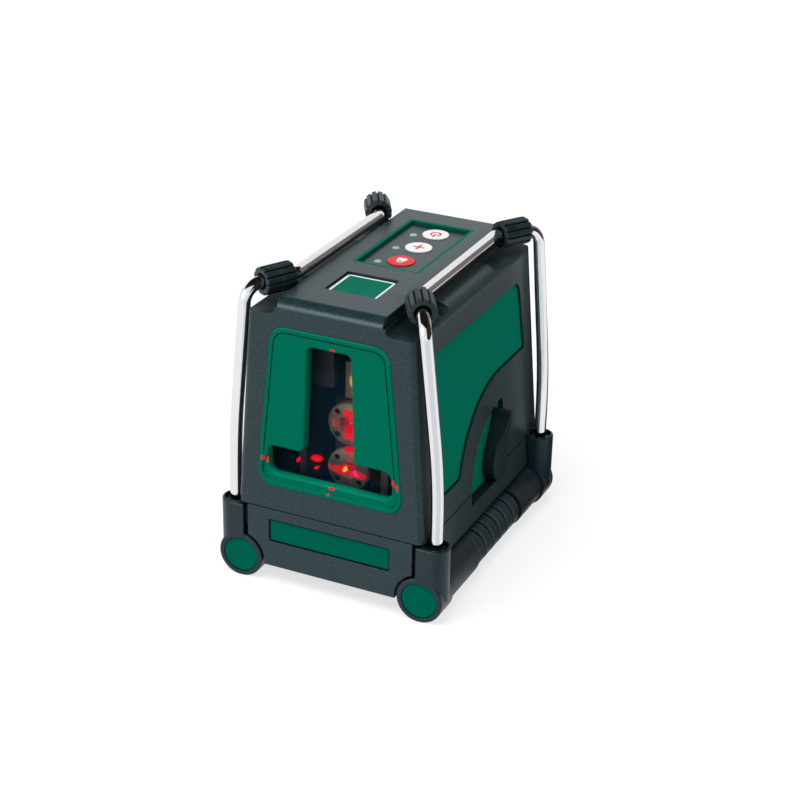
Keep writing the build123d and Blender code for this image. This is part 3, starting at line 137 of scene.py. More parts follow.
LAMP_CORE = (0.46, 0.51, 0.50, 1.0)
BOARD_DARK = (0.010, 0.070, 0.030, 1.0)
BOARD_LIGHT = (0.020, 0.110, 0.045, 1.0)
ANODISED_DARK = (0.030, 0.028, 0.026, 1.0)
ANODISED_LIGHT = (0.064, 0.058, 0.052, 1.0)
# Painted highlight on the chassis' front lips
ANODISED_HIGHLIGHT = (0.26, 0.22, 0.17, 1.0)
BRASS_DARK = (0.26, 0.19, 0.12, 1.0)
BRASS_LIGHT = (0.46, 0.35, 0.23, 1.0)
HEAD_DARK = (0.20, 0.16, 0.12, 1.0)
HEAD_LIGHT = (0.34, 0.28, 0.22, 1.0)
# Painted highlight at the top of a laser head's face
HEAD_HIGHLIGHT = (0.68, 0.50, 0.34, 1.0)
STEEL_DARK = (0.34, 0.34, 0.34, 1.0)
STEEL_LIGHT = (0.58, 0.58, 0.57, 1.0)
BLACK_OXIDE_DARK = (0.006, 0.006, 0.006, 1.0)
BLACK_OXIDE_LIGHT = (0.020, 0.019, 0.018, 1.0)
COPPER_DARK = (0.42, 0.18, 0.09, 1.0)
COPPER_LIGHT = (0.60, 0.29, 0.16, 1.0)
JACKET_DARK = (0.05, 0.05, 0.055, 1.0)
JACKET_LIGHT = (0.09, 0.09, 0.095, 1.0)
ACETAL_DARK = (0.42, 0.42, 0.39, 1.0)
ACETAL_LIGHT = (0.55, 0.55, 0.52, 1.0)
LENS_DARK = (0.2, 0.01, 0.01, 1.0)
LENS_LIGHT = (0.4, 0.03, 0.03, 1.0)
LENS_GLOW = (0.25, 0.0, 0.01, 1.0)
BLACK = (0.0, 0.0, 0.0, 1.0)
WHITE = (1.0, 1.0, 1.0, 1.0)
LASER_RED = (0.95, 0.0, 0.012, 1.0)
LASER_PINK = (1.0, 0.04, 0.30, 1.0)
LASER_YELLOW = (1.0, 0.72, 0.04, 1.0)
LASER_ORANGE = (0.95, 0.42, 0.02, 1.0)

# Lumps for each metre in the finishes' noise
FLOW_CLOUDS = 45.0
RUBBER_BLOOM = 120.0
RUBBER_GRAIN = 1600.0
CHROME_HAZE = 70.0
CHROME_LINES = (900.0, 900.0, 60.0)
METAL_PATCHES = 160.0
BOARD_TRACKS = 260.0
PANE_SMEARS = 60.0
LENS_STREAKS = 900.0
HEAD_PATCHES = 300.0
HEAD_SPECKLE = 800.0
WRAP_WEAR = 200.0

# Painted shade in corners, pockets and grooves, and painted highlight on rubber's edges: how far a finish
# looks, and the open shares at which each starts and is full
CREASE_SHADE_OPEN = (0.85, 0.15)
CREASE_SHADE_STRENGTH = 0.8
POCKET_SHADE_REACH = 12.0 * MM
POCKET_SHADE_OPEN = (0.90, 0.40)
POCKET_DULL = 0.55
GROOVE_SHADE_REACH = 2.0 * MM
GROOVE_SHADE_OPEN = (0.80, 0.35)
EDGE_HIGHLIGHT_REACH = 0.6 * MM
EDGE_HIGHLIGHT_OPEN = (0.82, 0.45)
# Painted shadow line round the base plate: how far in from its edge it ends and where it is full
PLATE_SHADOW_EDGE = (0.75 * MM, 0.35 * MM)
CELL_BAND = 14.0 * MM

# Inside of the case, darkened to near black as painted shade
CAVITY_HALF_WIDTH = 30.0 * MM
CAVITY_FRONT = -54.5 * MM
CAVITY_REAR = 45.0 * MM
CAVITY_FLOOR = 30.0 * MM
CAVITY_TOP = 108.0 * MM

# Laser light scattered on the bezel's edges: X, Z and the half sizes of each spot, in millimetres
BEZEL_SPOTS = (
    (-28.3, 54.6, 0.6, 1.3),
    (-26.2, 53.9, 0.9, 1.7),
    (1.6, 105.6, 1.3, 0.7),
    (1.0, 48.0, 1.7, 0.9),
    (-0.2, 45.2, 0.8, 0.4),
    (27.2, 56.4, 0.6, 2.2),
    (28.8, 55.1, 0.45, 1.8),
)
BEZEL_LIT_DEPTH = 1.2 * MM

# Laser light mirrored in the pane, given in the same way
PANE_SPOTS = (
    (-7.5, 56.9, 3.2, 1.6),
    (-7.5, 52.9, 1.1, 0.7),
    (-15.4, 54.5, 0.7, 1.5),
)
PANE_HAZE = (0.003, 0.036, 0.072, 1.0)
PANE_ALPHA = 0.16

# Pendulum's frame: its bare front fin and flank, and stray light's middle and half sizes in millimetres
FIN_HALF_WIDTH = 3.2 * MM
FIN_DEPTH = 5.0 * MM
FIN_DROP = 25.0 * MM
FLANK_DEPTH = 0.3 * MM
STRAY_LIGHT = ((-0.3, 84.6), (1.2, 3.0))

# Chassis: where the painted highlight on its front lips starts and is full, in Z and in X
LIP_HIGHLIGHT_Z = (92.0 * MM, 78.0 * MM)
LIP_HIGHLIGHT_X = (-14.0 * MM, -5.0 * MM)

# Laser heads: light on their faces as middles and half sizes in millimetres, from the middle of each face
# Painted highlight at the top of each head's face: where it starts and is full, above the face's middle
HEAD_HIGHLIGHT_RISE = (1.5 * MM, 8.0 * MM)
LOWER_SPLASH = ((-0.4, -0.9), (8.8, 2.1))
LOWER_SPLASH_TILT = 0.06
LOWER_TOP = ((0.4, 9.0), (2.6, 1.6))
LOWER_FAINT = ((0.4, 4.0), (1.8, 6.0))
LOWER_PINK = ((2.0, -1.2), (3.4, 1.2))
LOWER_HOT = ((-2.0, -0.9), (0.9, 1.1))
LOWER_RAGGED = 3.2
UPPER_BAND_LEFT = (-2.3 * MM, -1.7 * MM)
UPPER_BAND_RIGHT = 4.0 * MM
UPPER_BAND_HALF = 6.4 * MM
UPPER_GLITTER = ((-5.2, 0.6), (1.5, 5.0))
UPPER_PINK = ((1.2, 1.0), (2.0, 1.4))
UPPER_RAGGED = 1.4

CORNERS = ("front_right", "rear_right", "front_left", "rear_left")
SIDES = ("right", "left")
MERGE_DISTANCE = 0.001 * MM


class Wire:
    """An output socket that takes part in Python expressions: each operator adds one Math node."""

    def __init__(self, graph, socket):
        self.graph = graph
        self.socket = socket

    def math(self, operation, *terms):
        """Any other operation of the Math node, with this socket as its first value."""
        return self.graph.node("ShaderNodeMath", {"operation": operation}, self, *terms)

    def reflected(self, operation, other):
        return self.graph.node("ShaderNodeMath", {"operation": operation}, other, self)

    def __add__(self, other):
        return self.math("ADD", other)

    def __radd__(self, other):
        return self.reflected("ADD", other)

    def __sub__(self, other):
        return self.math("SUBTRACT", other)

    def __rsub__(self, other):
        return self.reflected("SUBTRACT", other)

    def __mul__(self, other):
        return self.math("MULTIPLY", other)

    def __rmul__(self, other):
        return self.reflected("MULTIPLY", other)

    def __truediv__(self, other):
        return self.math("DIVIDE", other)

    def __rtruediv__(self, other):
        return self.reflected("DIVIDE", other)

    def __pow__(self, other):
        return self.math("POWER", other)

    def __rpow__(self, other):
        return self.reflected("POWER", other)

    def __abs__(self):
        return self.math("ABSOLUTE")

    def __lt__(self, other):
        return self.math("LESS_THAN", other)

    def __gt__(self, other):
        return self.math("GREATER_THAN", other)

    def part(self, name):
        """One of X, Y and Z of a vector."""
        return self.graph.node("ShaderNodeSeparateXYZ", None, self, out=name)

    def ease(self, start, stop):
        """A smooth step from 0 at one value to 1 at another."""
        return self.graph.node("ShaderNodeMapRange", {"interpolation_type": "SMOOTHSTEP"}, Value=self,
                               From_Min=start, From_Max=stop)


class Graph:
    """A node tree that is written as expressions."""

    def __init__(self, tree):
        self.tree = tree

    def plug(self, socket, value):
        if isinstance(value, Wire):
            self.tree.links.new(value.socket, socket)
        else:
            socket.default_value = value

    def node(self, kind, settings=None, *values, out=0, **named):
        """Adds any node: its settings first, then its sockets by order or by name."""
        node = self.tree.nodes.new(kind)
        for setting, value in (settings or {}).items():
            setattr(node, setting, value)
        for socket, value in zip(node.inputs, values):
            self.plug(socket, value)
        for name, value in named.items():
            self.plug(node.inputs[name.replace("_", " ")], value)
        return Wire(self, node.outputs[out])

    def blend(self, factor, first, second):
        """A mix of two colours."""
        mix = self.tree.nodes.new("ShaderNodeMix")
        mix.data_type = "RGBA"
        for socket, value in zip((mix.inputs[0], mix.inputs[6], mix.inputs[7]), (factor, first, second)):
            self.plug(socket, value)
        return Wire(self, mix.outputs[2])


def oval(along, across, middle, halves):
    """Squared distance from the middle of an oval in millimetres, 1 at its edge."""
    return (((along - middle[0] * MM) / (halves[0] * MM)) ** 2
            + ((across - middle[1] * MM) / (halves[1] * MM)) ** 2)


class Finish(Graph):
    """A material on Object coordinates, with its Principled shader."""

    def __init__(self, name, **constants):
        self.material = bpy.data.materials.new(name)
        self.material.use_nodes = True
        super().__init__(self.material.node_tree)
        self.shader = self.tree.nodes["Principled BSDF"]
        self.place = self.node("ShaderNodeTexCoord", out="Object")
        self.set(**constants)

    def set(self, **sockets):
        for name, value in sockets.items():
            self.plug(self.shader.inputs[name.replace("_", " ")], value)

    def axes(self):
        return [self.place.part(name) for name in "XYZ"]

    def noise(self, scale, detail=2.0, roughness=0.5):
        """Cloudy noise, with a scale in lumps for each metre."""
        return self.node("ShaderNodeTexNoise", None, Vector=self.place, Scale=scale, Detail=detail,
                         Roughness=roughness)

    def cells(self, scale):
        """Distance to the nearest of many scattered points."""
        return self.node("ShaderNodeTexVoronoi", None, Vector=self.place, Scale=scale)

    def spots(self, places):
        """Soft ovals on upright faces, from X, Z and half sizes in millimetres."""
        x, _, z = self.axes()
        total = None
        for spot_x, spot_z, half_x, half_z in places:
            spot = oval(x, z, (spot_x, spot_z), (half_x, half_z)).ease(1.0, 0.1)
            total = spot if total is None else total + spot
        return total.math("MINIMUM", 1.0)

    def crease(self, reach, opened, shut, inside=False):
        """From 0 on open faces to 1 in corners that shut off what is within reach, or on edges if inside."""
        settings = {"samples": 6, "inside": inside}
        open_share = self.node("ShaderNodeAmbientOcclusion", settings, Distance=reach, out="AO")
        return open_share.ease(opened, shut)

    def relief(self, height, depth, edge=0.0):
        """Bump of a given depth, over edges that look rounded by a given radius."""
        sockets = {"Height": height, "Distance": depth, "Strength": 1.0}
        if edge:
            sockets["Normal"] = self.node("ShaderNodeBevel", {"samples": 4}, Radius=edge)
        self.set(Normal=self.node("ShaderNodeBump", None, **sockets))


class Growth(Graph):
    """A Geometry Nodes tree with named inputs, which grows one mesh for each set of sizes."""

    def __init__(self, name):
        super().__init__(bpy.data.node_groups.new(name, "GeometryNodeTree"))
        self.tree.interface.new_socket("Geometry", in_out="OUTPUT", socket_type="NodeSocketGeometry")
        self.inlet = self.tree.nodes.new("NodeGroupInput")
        self.identifiers = {}

    def size(self, name, kind="NodeSocketFloat"):
        """A named input of the tree."""
        socket = self.tree.interface.new_socket(name, in_out="INPUT", socket_type=kind)
        self.identifiers[name] = socket.identifier
        return Wire(self, self.inlet.outputs[name])

    def sheet(self, columns, rows):
        """A flat grid, with two sockets that run from 0 to 1 along its columns and its rows."""
        grid = self.node("GeometryNodeMeshGrid", None, 1.0, 1.0, columns + 1, rows + 1)
        place = self.node("GeometryNodeInputPosition")
        return grid, place.part("X") + 0.5, place.part("Y") + 0.5

    def bend(self, grid, x, y, z):
        """Moves every point of a grid."""
        place = self.node("ShaderNodeCombineXYZ", None, x, y, z)
        return self.node("GeometryNodeSetPosition", None, grid, Position=place)

    def end(self, geometry, material):
        """Closes the seams and the tree."""
        closed = self.node("GeometryNodeMergeByDistance", None, geometry, Distance=MERGE_DISTANCE)
        smooth = self.node("GeometryNodeSetShadeSmooth", None, closed)
        real = self.node("GeometryNodeRealizeInstances", None, smooth)
        painted = self.node("GeometryNodeSetMaterial", None, real, Material=material)
        outlet = self.tree.nodes.new("NodeGroupOutput")
        self.plug(outlet.inputs[0], painted)

    def mesh(self, name, **sizes):
        """The plain mesh for one set of sizes."""
        holder = new_object(name, bpy.data.meshes.new(name))
        modifier = holder.modifiers.new(name, "NODES")
        modifier.node_group = self.tree
        for size, value in sizes.items():
            modifier[self.identifiers[size]] = value
        evaluated = holder.evaluated_get(bpy.context.evaluated_depsgraph_get())
        grown = bpy.data.meshes.new_from_object(evaluated)
        holder.modifiers.remove(modifier)
        bpy.data.objects.remove(holder)
        return grown


# Finishes, as node trees
def moulded(name, dark, light, roughness, grain_size=0.45 * MM, depth=0.03 * MM, edge=0.4 * MM,
            gloss=0.45, crease_shade_reach=4.0 * MM, pocket_shade=0.0):
    """Moulded plastic: a fine spark-eroded grain, slightly uneven colour, rounded edges, and painted shade
    that darkens its corners and pockets, which are also rougher.
    """
    finish = Finish(name, Specular_IOR_Level=gloss, Specular_Tint=GLOSS_TINT)
    grain = finish.noise(1 / grain_size, detail=3.0)
    pits = finish.cells(1.3 / grain_size)
    flecks = finish.noise(0.6 / grain_size, detail=2.0)
    clouds = finish.noise(FLOW_CLOUDS, detail=3.0)
    even = finish.blend(clouds * 0.2 + flecks.ease(0.32, 0.68) * 0.8, dark, light)
    # Painted shade: corners darkened towards black by how shut in they are, and pockets too when
    # pocket_shade is set
    crease_shade = finish.crease(crease_shade_reach, *CREASE_SHADE_OPEN) * CREASE_SHADE_STRENGTH
    rough = roughness - 0.05 + clouds * 0.06 + grain * 0.06
    if pocket_shade:
        pocket = finish.crease(POCKET_SHADE_REACH, *POCKET_SHADE_OPEN) * pocket_shade
        crease_shade = crease_shade.math("MAXIMUM", pocket)
        rough = rough + pocket * POCKET_DULL
    # The tone carries the painted shade of corners and pockets
    finish.tone = finish.blend(crease_shade, even, SHADE_BLACK)
    finish.set(Base_Color=finish.tone, Roughness=rough)
    finish.relief(grain * 0.6 + pits * 0.4, depth, edge)
    return finish


def case_plastic(name):
    """The case's charcoal plastic, with painted shade in its corners and pockets and its cavity darkened to
    near black as painted shade.
    """
    finish = moulded(name, CHARCOAL_DARK, CHARCOAL_LIGHT, 0.32, pocket_shade=0.8)
    x, y, z = finish.axes()
    # Painted shade: a box inside the case, darkened to near black
    inside = ((abs(x) < CAVITY_HALF_WIDTH) * (y > CAVITY_FRONT) * (y < CAVITY_REAR)
              * (z > CAVITY_FLOOR) * (z < CAVITY_TOP))
    finish.set(Base_Color=finish.blend(inside, finish.tone, SHADE_BLACK))
    return finish.material


def satin(name, dark, light, roughness=0.42, gloss=0.022):
    """Satin plastic with a faint flow pattern and no visible grain."""
    return moulded(name, dark, light, roughness, grain_size=0.8 * MM, depth=0.006 * MM, edge=0.35 * MM,
                   gloss=gloss, crease_shade_reach=2.6 * MM)


def bezel_plastic(name):
    """The bezel's green, with red laser light caught on its edges."""
    finish = satin(name, GREEN_DARK, GREEN_LIGHT)
    face = finish.place.part("Y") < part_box("front_bezel")[0].y + BEZEL_LIT_DEPTH
    caught = finish.spots(BEZEL_SPOTS) * face
    finish.set(Base_Color=finish.blend(caught, finish.tone, BLACK), Emission_Strength=1.0,
               Emission_Color=finish.blend(caught, BLACK, LASER_RED))
    return finish.material


def base_plate(name):
    """The plate in the base's front, with a painted shadow line where it meets its recess."""
    low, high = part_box("base_name_plate")
    middle, half = (low + high) / 2, (high - low) / 2
    finish = satin(name, CAP_DARK, CAP_LIGHT, gloss=0.012)
    x, _, z = finish.axes()
    from_end, from_side = half.x - abs(x - middle.x), half.z - abs(z - middle.z)
    # Painted shadow along the plate's edges
    rim = from_end.math("MINIMUM", from_side).ease(*PLATE_SHADOW_EDGE) * 0.9
    finish.set(Base_Color=finish.blend(rim, finish.tone, SHADE_BLACK))
    return finish.material


def rubber(name, dark, light, roughness=0.38):
    """Moulded rubber, with a dusty bloom, painted shade darkening its grooves to black and painted highlight
    lightening its edges.
    """
    finish = Finish(name, Specular_IOR_Level=0.5, Specular_Tint=GLOSS_TINT)
    bloom = finish.noise(RUBBER_BLOOM, detail=4.0)
    grain = finish.noise(RUBBER_GRAIN, detail=2.0)
    # Painted shade: grooves darkened to black
    groove = finish.crease(GROOVE_SHADE_REACH, *GROOVE_SHADE_OPEN)
    # Painted highlight: convex edges lightened
    edge = finish.crease(EDGE_HIGHLIGHT_REACH, *EDGE_HIGHLIGHT_OPEN, inside=True)
    dusty = finish.blend(bloom.ease(0.3, 0.7), dark, light)
    highlighted = finish.blend(edge * 0.85, dusty, RUBBER_HIGHLIGHT)
    finish.tone = finish.blend(groove, highlighted, SHADE_BLACK)
    finish.rough = roughness + bloom * 0.12 + groove * 0.4
    finish.set(Base_Color=finish.tone, Roughness=finish.rough)
    finish.relief(grain, 0.012 * MM, 0.12 * MM)
    return finish


def chrome(name):
    """Bright chrome over drawn bar, with very faint polishing lines."""
    finish = Finish(name, Metallic=1.0)
    stretched = finish.node("ShaderNodeMapping", None, finish.place, Scale=CHROME_LINES)
    lines = finish.node("ShaderNodeTexNoise", None, Vector=stretched, Scale=1.0, Detail=2.0)
    haze = finish.noise(CHROME_HAZE, detail=3.0)
    finish.set(Base_Color=finish.blend(haze * 0.5, CHROME, CHROME_WORN), Roughness=0.05 + haze * 0.05)
    finish.relief(lines, 0.003 * MM)
    return finish.material


def metal(name, dark, light, roughness, lines=0.3 * MM, metallic=0.9):
    """Turned or cast metal with fine machining lines."""
    finish = Finish(name, Metallic=metallic)
    stretch = (0.12 / lines, 1 / lines, 0.12 / lines)
    across = finish.node("ShaderNodeMapping", None, finish.place, Scale=stretch)
    cut = finish.node("ShaderNodeTexNoise", None, Vector=across, Scale=1.0, Detail=2.0)
    finish.patches = finish.noise(METAL_PATCHES, detail=3.0)
    finish.set(Base_Color=finish.blend(finish.patches * 0.7 + cut * 0.3, dark, light),
               Roughness=roughness + cut * 0.12)
    finish.relief(cut, 0.01 * MM, 0.15 * MM)
    return finish


def pendulum_metal(name):
    """The pendulum's frame: bare on its front fin and flank, else black, with stray light on the fin."""
    low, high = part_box("pendulum_frame")
    finish = metal(name, BRASS_DARK, BRASS_LIGHT, 0.45, metallic=0.5)
    x, y, z = finish.axes()
    fin = (abs(x) < FIN_HALF_WIDTH) * (y < low.y + FIN_DEPTH) * (z > high.z - FIN_DROP)
    flank = x > high.x - FLANK_DEPTH
    bare = finish.blend(finish.patches, BRASS_DARK, BRASS_LIGHT)
    stray = oval(x, z, *STRAY_LIGHT).ease(1.0, 0.1)
    finish.set(Base_Color=finish.blend(fin.math("MAXIMUM", flank), ANODISED_LIGHT, bare),
               Emission_Strength=0.9, Emission_Color=finish.blend(stray * fin, BLACK, LASER_ORANGE))
    return finish.material


def circuit_board(name):
    """Solder mask with faint copper tracks under it."""
    finish = Finish(name, Roughness=0.35)
    tracks = finish.node("ShaderNodeTexBrick", {"offset": 0.5}, Vector=finish.place, Scale=BOARD_TRACKS,
                         out="Fac")
    finish.set(Base_Color=finish.blend(tracks, BOARD_DARK, BOARD_LIGHT))
    finish.relief(tracks, 0.03 * MM)
    return finish.material


def clear_pane(name):
    """Clear window: nearly all see-through, with a faint tint, sharp gloss and mirrored laser light."""
    finish = Finish(name, Specular_IOR_Level=0.08, Emission_Strength=1.0)
    smears = finish.noise(PANE_SMEARS, detail=4.0)
    mirrored = finish.spots(PANE_SPOTS) ** 2
    bright = mirrored.ease(0.0, 0.3)
    finish.set(Base_Color=finish.blend(bright, PANE_HAZE, BLACK), Roughness=0.02 + smears * 0.05,
               Alpha=PANE_ALPHA + mirrored * 0.8, Emission_Color=finish.blend(bright, BLACK, LASER_RED))
    return finish.material


def glass_rod(name):
    """Glass of the line lenses, lit red by the laser behind them."""
    finish = Finish(name, Roughness=0.08, Emission_Strength=1.0)
    glow = finish.noise(LENS_STREAKS, detail=2.0)
    finish.set(Base_Color=finish.blend(glow, LENS_DARK, LENS_LIGHT),
               Emission_Color=finish.blend(glow.ease(0.4, 0.7), LENS_GLOW, LASER_RED))
    return finish.material


def chassis_metal(name):
    """The chassis' dark alloy, with a painted highlight low on its front lips."""
    finish = metal(name, ANODISED_DARK, ANODISED_LIGHT, 0.5, metallic=0.2)
    x, _, z = finish.axes()
    plain = finish.blend(finish.patches, ANODISED_DARK, ANODISED_LIGHT)
    # Painted highlight: tan on the lower right of the front lips
    lip_highlight = z.ease(*LIP_HIGHLIGHT_Z) * x.ease(*LIP_HIGHLIGHT_X) * finish.patches.ease(0.2, 0.6)
    finish.set(Base_Color=finish.blend(lip_highlight * 0.6, plain, ANODISED_HIGHLIGHT))
    return finish.material


def head_metal(name, node):
    """Turned face of a laser head, with a painted highlight at its top, before its light."""
    low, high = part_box(node)
    finish = Finish(name, Metallic=0.35, Emission_Strength=1.0)
    x, _, z = finish.axes()
    finish.level, finish.upright = x - (low.x + high.x) / 2, z - (low.z + high.z) / 2
    tone = finish.noise(HEAD_PATCHES, detail=3.0)
    finish.speckle = finish.noise(HEAD_SPECKLE, detail=4.0, roughness=0.7)
    turned = finish.blend(tone.ease(0.3, 0.7), HEAD_DARK, HEAD_LIGHT)
    # Painted highlight: the top of the face lightened
    finish.tone = finish.blend(finish.upright.ease(*HEAD_HIGHLIGHT_RISE), turned, HEAD_HIGHLIGHT)
    finish.set(Roughness=0.40 + tone * 0.12)
    finish.relief(finish.speckle, 0.01 * MM, 0.2 * MM)
    return finish


def shine(finish, lit, color):
    """Light on a head's face, which hides the metal under it."""
    finish.set(Base_Color=finish.blend(lit, finish.tone, BLACK), Emission_Color=color)
    return finish.material


def lower_head(name):
    """Lower head: the level line scatters across its face, hottest in its mouth, and grazes its top."""
    finish = head_metal(name, "lower_lens_cap")
    along, across = finish.level, finish.upright
    ragged = (finish.speckle - 0.5) * LOWER_RAGGED
    tilted = across + along * LOWER_SPLASH_TILT
    splash = (oval(along, tilted, *LOWER_SPLASH) + ragged).ease(1.0, 0.55)
    top = (oval(along, across, *LOWER_TOP) + ragged * 0.5).ease(1.0, 0.7)
    faint = oval(along, across, *LOWER_FAINT).ease(1.0, 0.0) * 0.3
    pink = (oval(along, across, *LOWER_PINK) + ragged).ease(0.9, 0.3)
    hot = (oval(along, across, *LOWER_HOT) + ragged * 0.4).ease(1.0, 0.5)
    lit = (splash + top + faint).math("MINIMUM", 1.0)
    red = finish.blend(lit, BLACK, LASER_RED)
    warm = finish.blend(pink * lit, red, LASER_PINK)
    return shine(finish, lit, finish.blend(hot, warm, LASER_YELLOW))


def upper_head(name):
    """Upper head: the upright line on its face, and glitter down its left edge."""
    finish = head_metal(name, "upper_lens_cap")
    across, along = finish.level, finish.upright
    ragged = (finish.speckle - 0.5) * UPPER_RAGGED
    edge = (across + ragged * 0.8 * MM).ease(*UPPER_BAND_LEFT)
    ends = ((along / UPPER_BAND_HALF) ** 6 + ragged * 0.4).ease(1.0, 0.8)
    band = edge * (across < UPPER_BAND_RIGHT) * ends
    glitter = oval(across, along, *UPPER_GLITTER).ease(1.0, 0.7) * finish.speckle.ease(0.50, 0.55)
    pink = (oval(across, along, *UPPER_PINK) + ragged).ease(1.0, 0.4)
    lit = (band + glitter).math("MINIMUM", 1.0)
    red = finish.blend(lit, BLACK, LASER_RED)
    return shine(finish, lit, finish.blend(pink * band, red, LASER_PINK))


def cell_wrap(name):
    """Plain printed wrap of a battery cell, with a bright band at its rear."""
    finish = Finish(name, Roughness=0.3)
    band = finish.place.part("Y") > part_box("battery_cells")[1].y - CELL_BAND
    wear = finish.noise(WRAP_WEAR, detail=3.0)
    plain = finish.blend(wear, JACKET_DARK, JACKET_LIGHT)
    finish.set(Base_Color=finish.blend(band, plain, BRASS_LIGHT), Metallic=band * 0.8)
    return finish.material


# Meshes
def new_object(name, mesh):
    obj = bpy.data.objects.new(name, mesh)
    bpy.context.scene.collection.objects.link(obj)
    return obj


def piece(name, mesh, material, body, replaced=None):
    """Puts a finished mesh into the scene, riding on a body."""
    obj = new_object(name, mesh)
    mesh.materials.clear()
    mesh.materials.append(material)
    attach(obj, body)
    if replaced:
        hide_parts(replaced)


def arc(center, radius, start, stop, steps):
    """Points on a circle, between two angles in degrees."""
    angles = [math.radians(start + (stop - start) * i / steps) for i in range(steps + 1)]
    return [(center[0] + radius * math.cos(a), center[1] + radius * math.sin(a)) for a in angles]


def flat_mark(name, outlines, z, thickness):
    """Thin printed mark on a level face, from closed outlines in X and Y."""
    mesh = bpy.data.meshes.new(name)
    bm = bmesh.new()
    for outline in outlines:
        low = [bm.verts.new((x, y, z)) for x, y in outline]
        high = [bm.verts.new((x, y, z + thickness)) for x, y in outline]
        bm.faces.new(list(reversed(low)))
        bm.faces.new(high)
        for i in range(len(outline)):
            j = (i + 1) % len(outline)
            bm.faces.new((low[i], low[j], high[j], high[i]))
    bmesh.ops.recalc_face_normals(bm, faces=bm.faces)
    bmesh.ops.triangulate(bm, faces=bm.faces)
    bm.to_mesh(mesh)
    bm.free()
    return mesh


# Fluted bumpers
BUMPER_TEETH = 12
TOOTH_STEPS = 20
BUMPER_LOOP_STEPS = 44
BUMPER_GROOVE = 0.95 * MM
BUMPER_BORE = 3.1 * MM
BUMPER_BOXINESS = 0.22
BUMPER_WALL = (0.64, 0.88)


def boxed(wave):
    """A wave from -1 to 1 with its turns squared off."""
    return wave.math("SIGN") * abs(wave) ** BUMPER_BOXINESS


def fluted_bumper():
    """A rubber ring with flat-topped teeth, round its own Z axis."""
    growth = Growth("fluted_bumper")
    teeth = growth.size("Teeth", "NodeSocketInt")
    radius, groove, bore, length = [growth.size(name) for name in ("Radius", "Groove", "Bore", "Length")]
    grid, around, along = growth.sheet(teeth * TOOTH_STEPS, BUMPER_LOOP_STEPS)
    turn, loop = around * math.tau, along * math.tau
    from_crest = abs((around * teeth).math("FRACT") - 0.5) * 2
    outer = radius - groove * from_crest.ease(*BUMPER_WALL)
    share = 0.5 + 0.5 * boxed(loop.math("COSINE"))
    reach = bore + (outer - bore) * share
    ring = growth.bend(grid, reach * turn.math("COSINE"), reach * turn.math("SINE"),
                       length / 2 * boxed(loop.math("SINE")))
    growth.end(ring, bumper_rubber)
    return growth


def turned_axis(node):
    """Middle, axis, length and radius of a node that is turned about one line."""
    points = numpy.array([vertex.co for vertex in nodes[node].data.vertices])
    middle = (points.min(axis=0) + points.max(axis=0)) / 2
    spreads, directions = numpy.linalg.eigh(numpy.cov((points - middle).T))
    lone = numpy.argmax(abs(spreads - numpy.median(spreads)))
    axis = directions[:, lone]
    along = (points - middle) @ axis
    radius = numpy.linalg.norm(points - middle - numpy.outer(along, axis), axis=1).max()
    return Vector(middle), Vector(axis), along.max() - along.min(), radius


def make_bumpers():
    growth = fluted_bumper()
    for corner in CORNERS:
        node = "corner_bumper_" + corner
        middle, axis, length, radius = turned_axis(node)
        mesh = growth.mesh("bumper", Teeth=BUMPER_TEETH, Radius=radius, Groove=BUMPER_GROOVE,
                           Bore=BUMPER_BORE, Length=length)
        mesh.transform(Matrix.Translation(middle) @ axis.to_track_quat("Z", "Y").to_matrix().to_4x4())
        piece("fluted_bumper_" + corner, mesh, bumper_rubber, "housing", node)


# Ribbed grips
GRIP_SIDES = 56
GRIP_ROWS = 600
GRIP_RIBS = 6
GRIP_PITCH = 7.2 * MM
GRIP_WAIST_MIDDLE = 2.9 * MM
GRIP_RIB_DROP = 0.6 * MM
GRIP_GROOVE = 0.9 * MM
GRIP_LIP = 0.8 * MM
GRIP_BORE = 4.2 * MM
# Shares of the way from a rib's crest to its groove's middle: the wall, the lips' painted highlight and the
# floor's painted shade
GRIP_WALL = (0.64, 0.76)
GRIP_HIGHLIGHT_START = (0.50, 0.60)
GRIP_HIGHLIGHT_END = (0.74, 0.66)
GRIP_SHADED_FLOOR = (0.70, 0.78)
# How far the floor's painted shade goes on past the waist, in ribs, and how strong the painted highlight on
# the lip behind a groove is
GRIP_SHADED_FLOOR_END = 0.09
GRIP_REAR_HIGHLIGHT = 0.4


def ribbed_rubber(name):
    """The grips' rubber, with painted highlight along the lips of each groove and painted shade darkening
    its floor to black.
    """
    finish = rubber(name, GRIP_DARK, GRIP_LIGHT, roughness=0.45)
    rib = (finish.place.part("Y") - GRIP_WAIST_MIDDLE) / GRIP_PITCH + GRIP_RIBS / 2
    waist = (rib > -GRIP_SHADED_FLOOR_END) * (rib < GRIP_RIBS + GRIP_SHADED_FLOOR_END)
    phase = rib.math("FRACT")
    from_crest = abs(phase - 0.5) * 2
    strength = GRIP_REAR_HIGHLIGHT + (phase > 0.5) * (1 - GRIP_REAR_HIGHLIGHT)
    # Painted highlight on the lips, and painted shade on the floor, of each groove
    lip = from_crest.ease(*GRIP_HIGHLIGHT_START) * from_crest.ease(*GRIP_HIGHLIGHT_END) * waist * strength
    floor = from_crest.ease(*GRIP_SHADED_FLOOR) * waist
    highlighted = finish.blend(lip, finish.tone, RUBBER_HIGHLIGHT)
    finish.set(Base_Color=finish.blend(floor, highlighted, SHADE_BLACK), Roughness=finish.rough + floor * 0.4)
    return finish.material


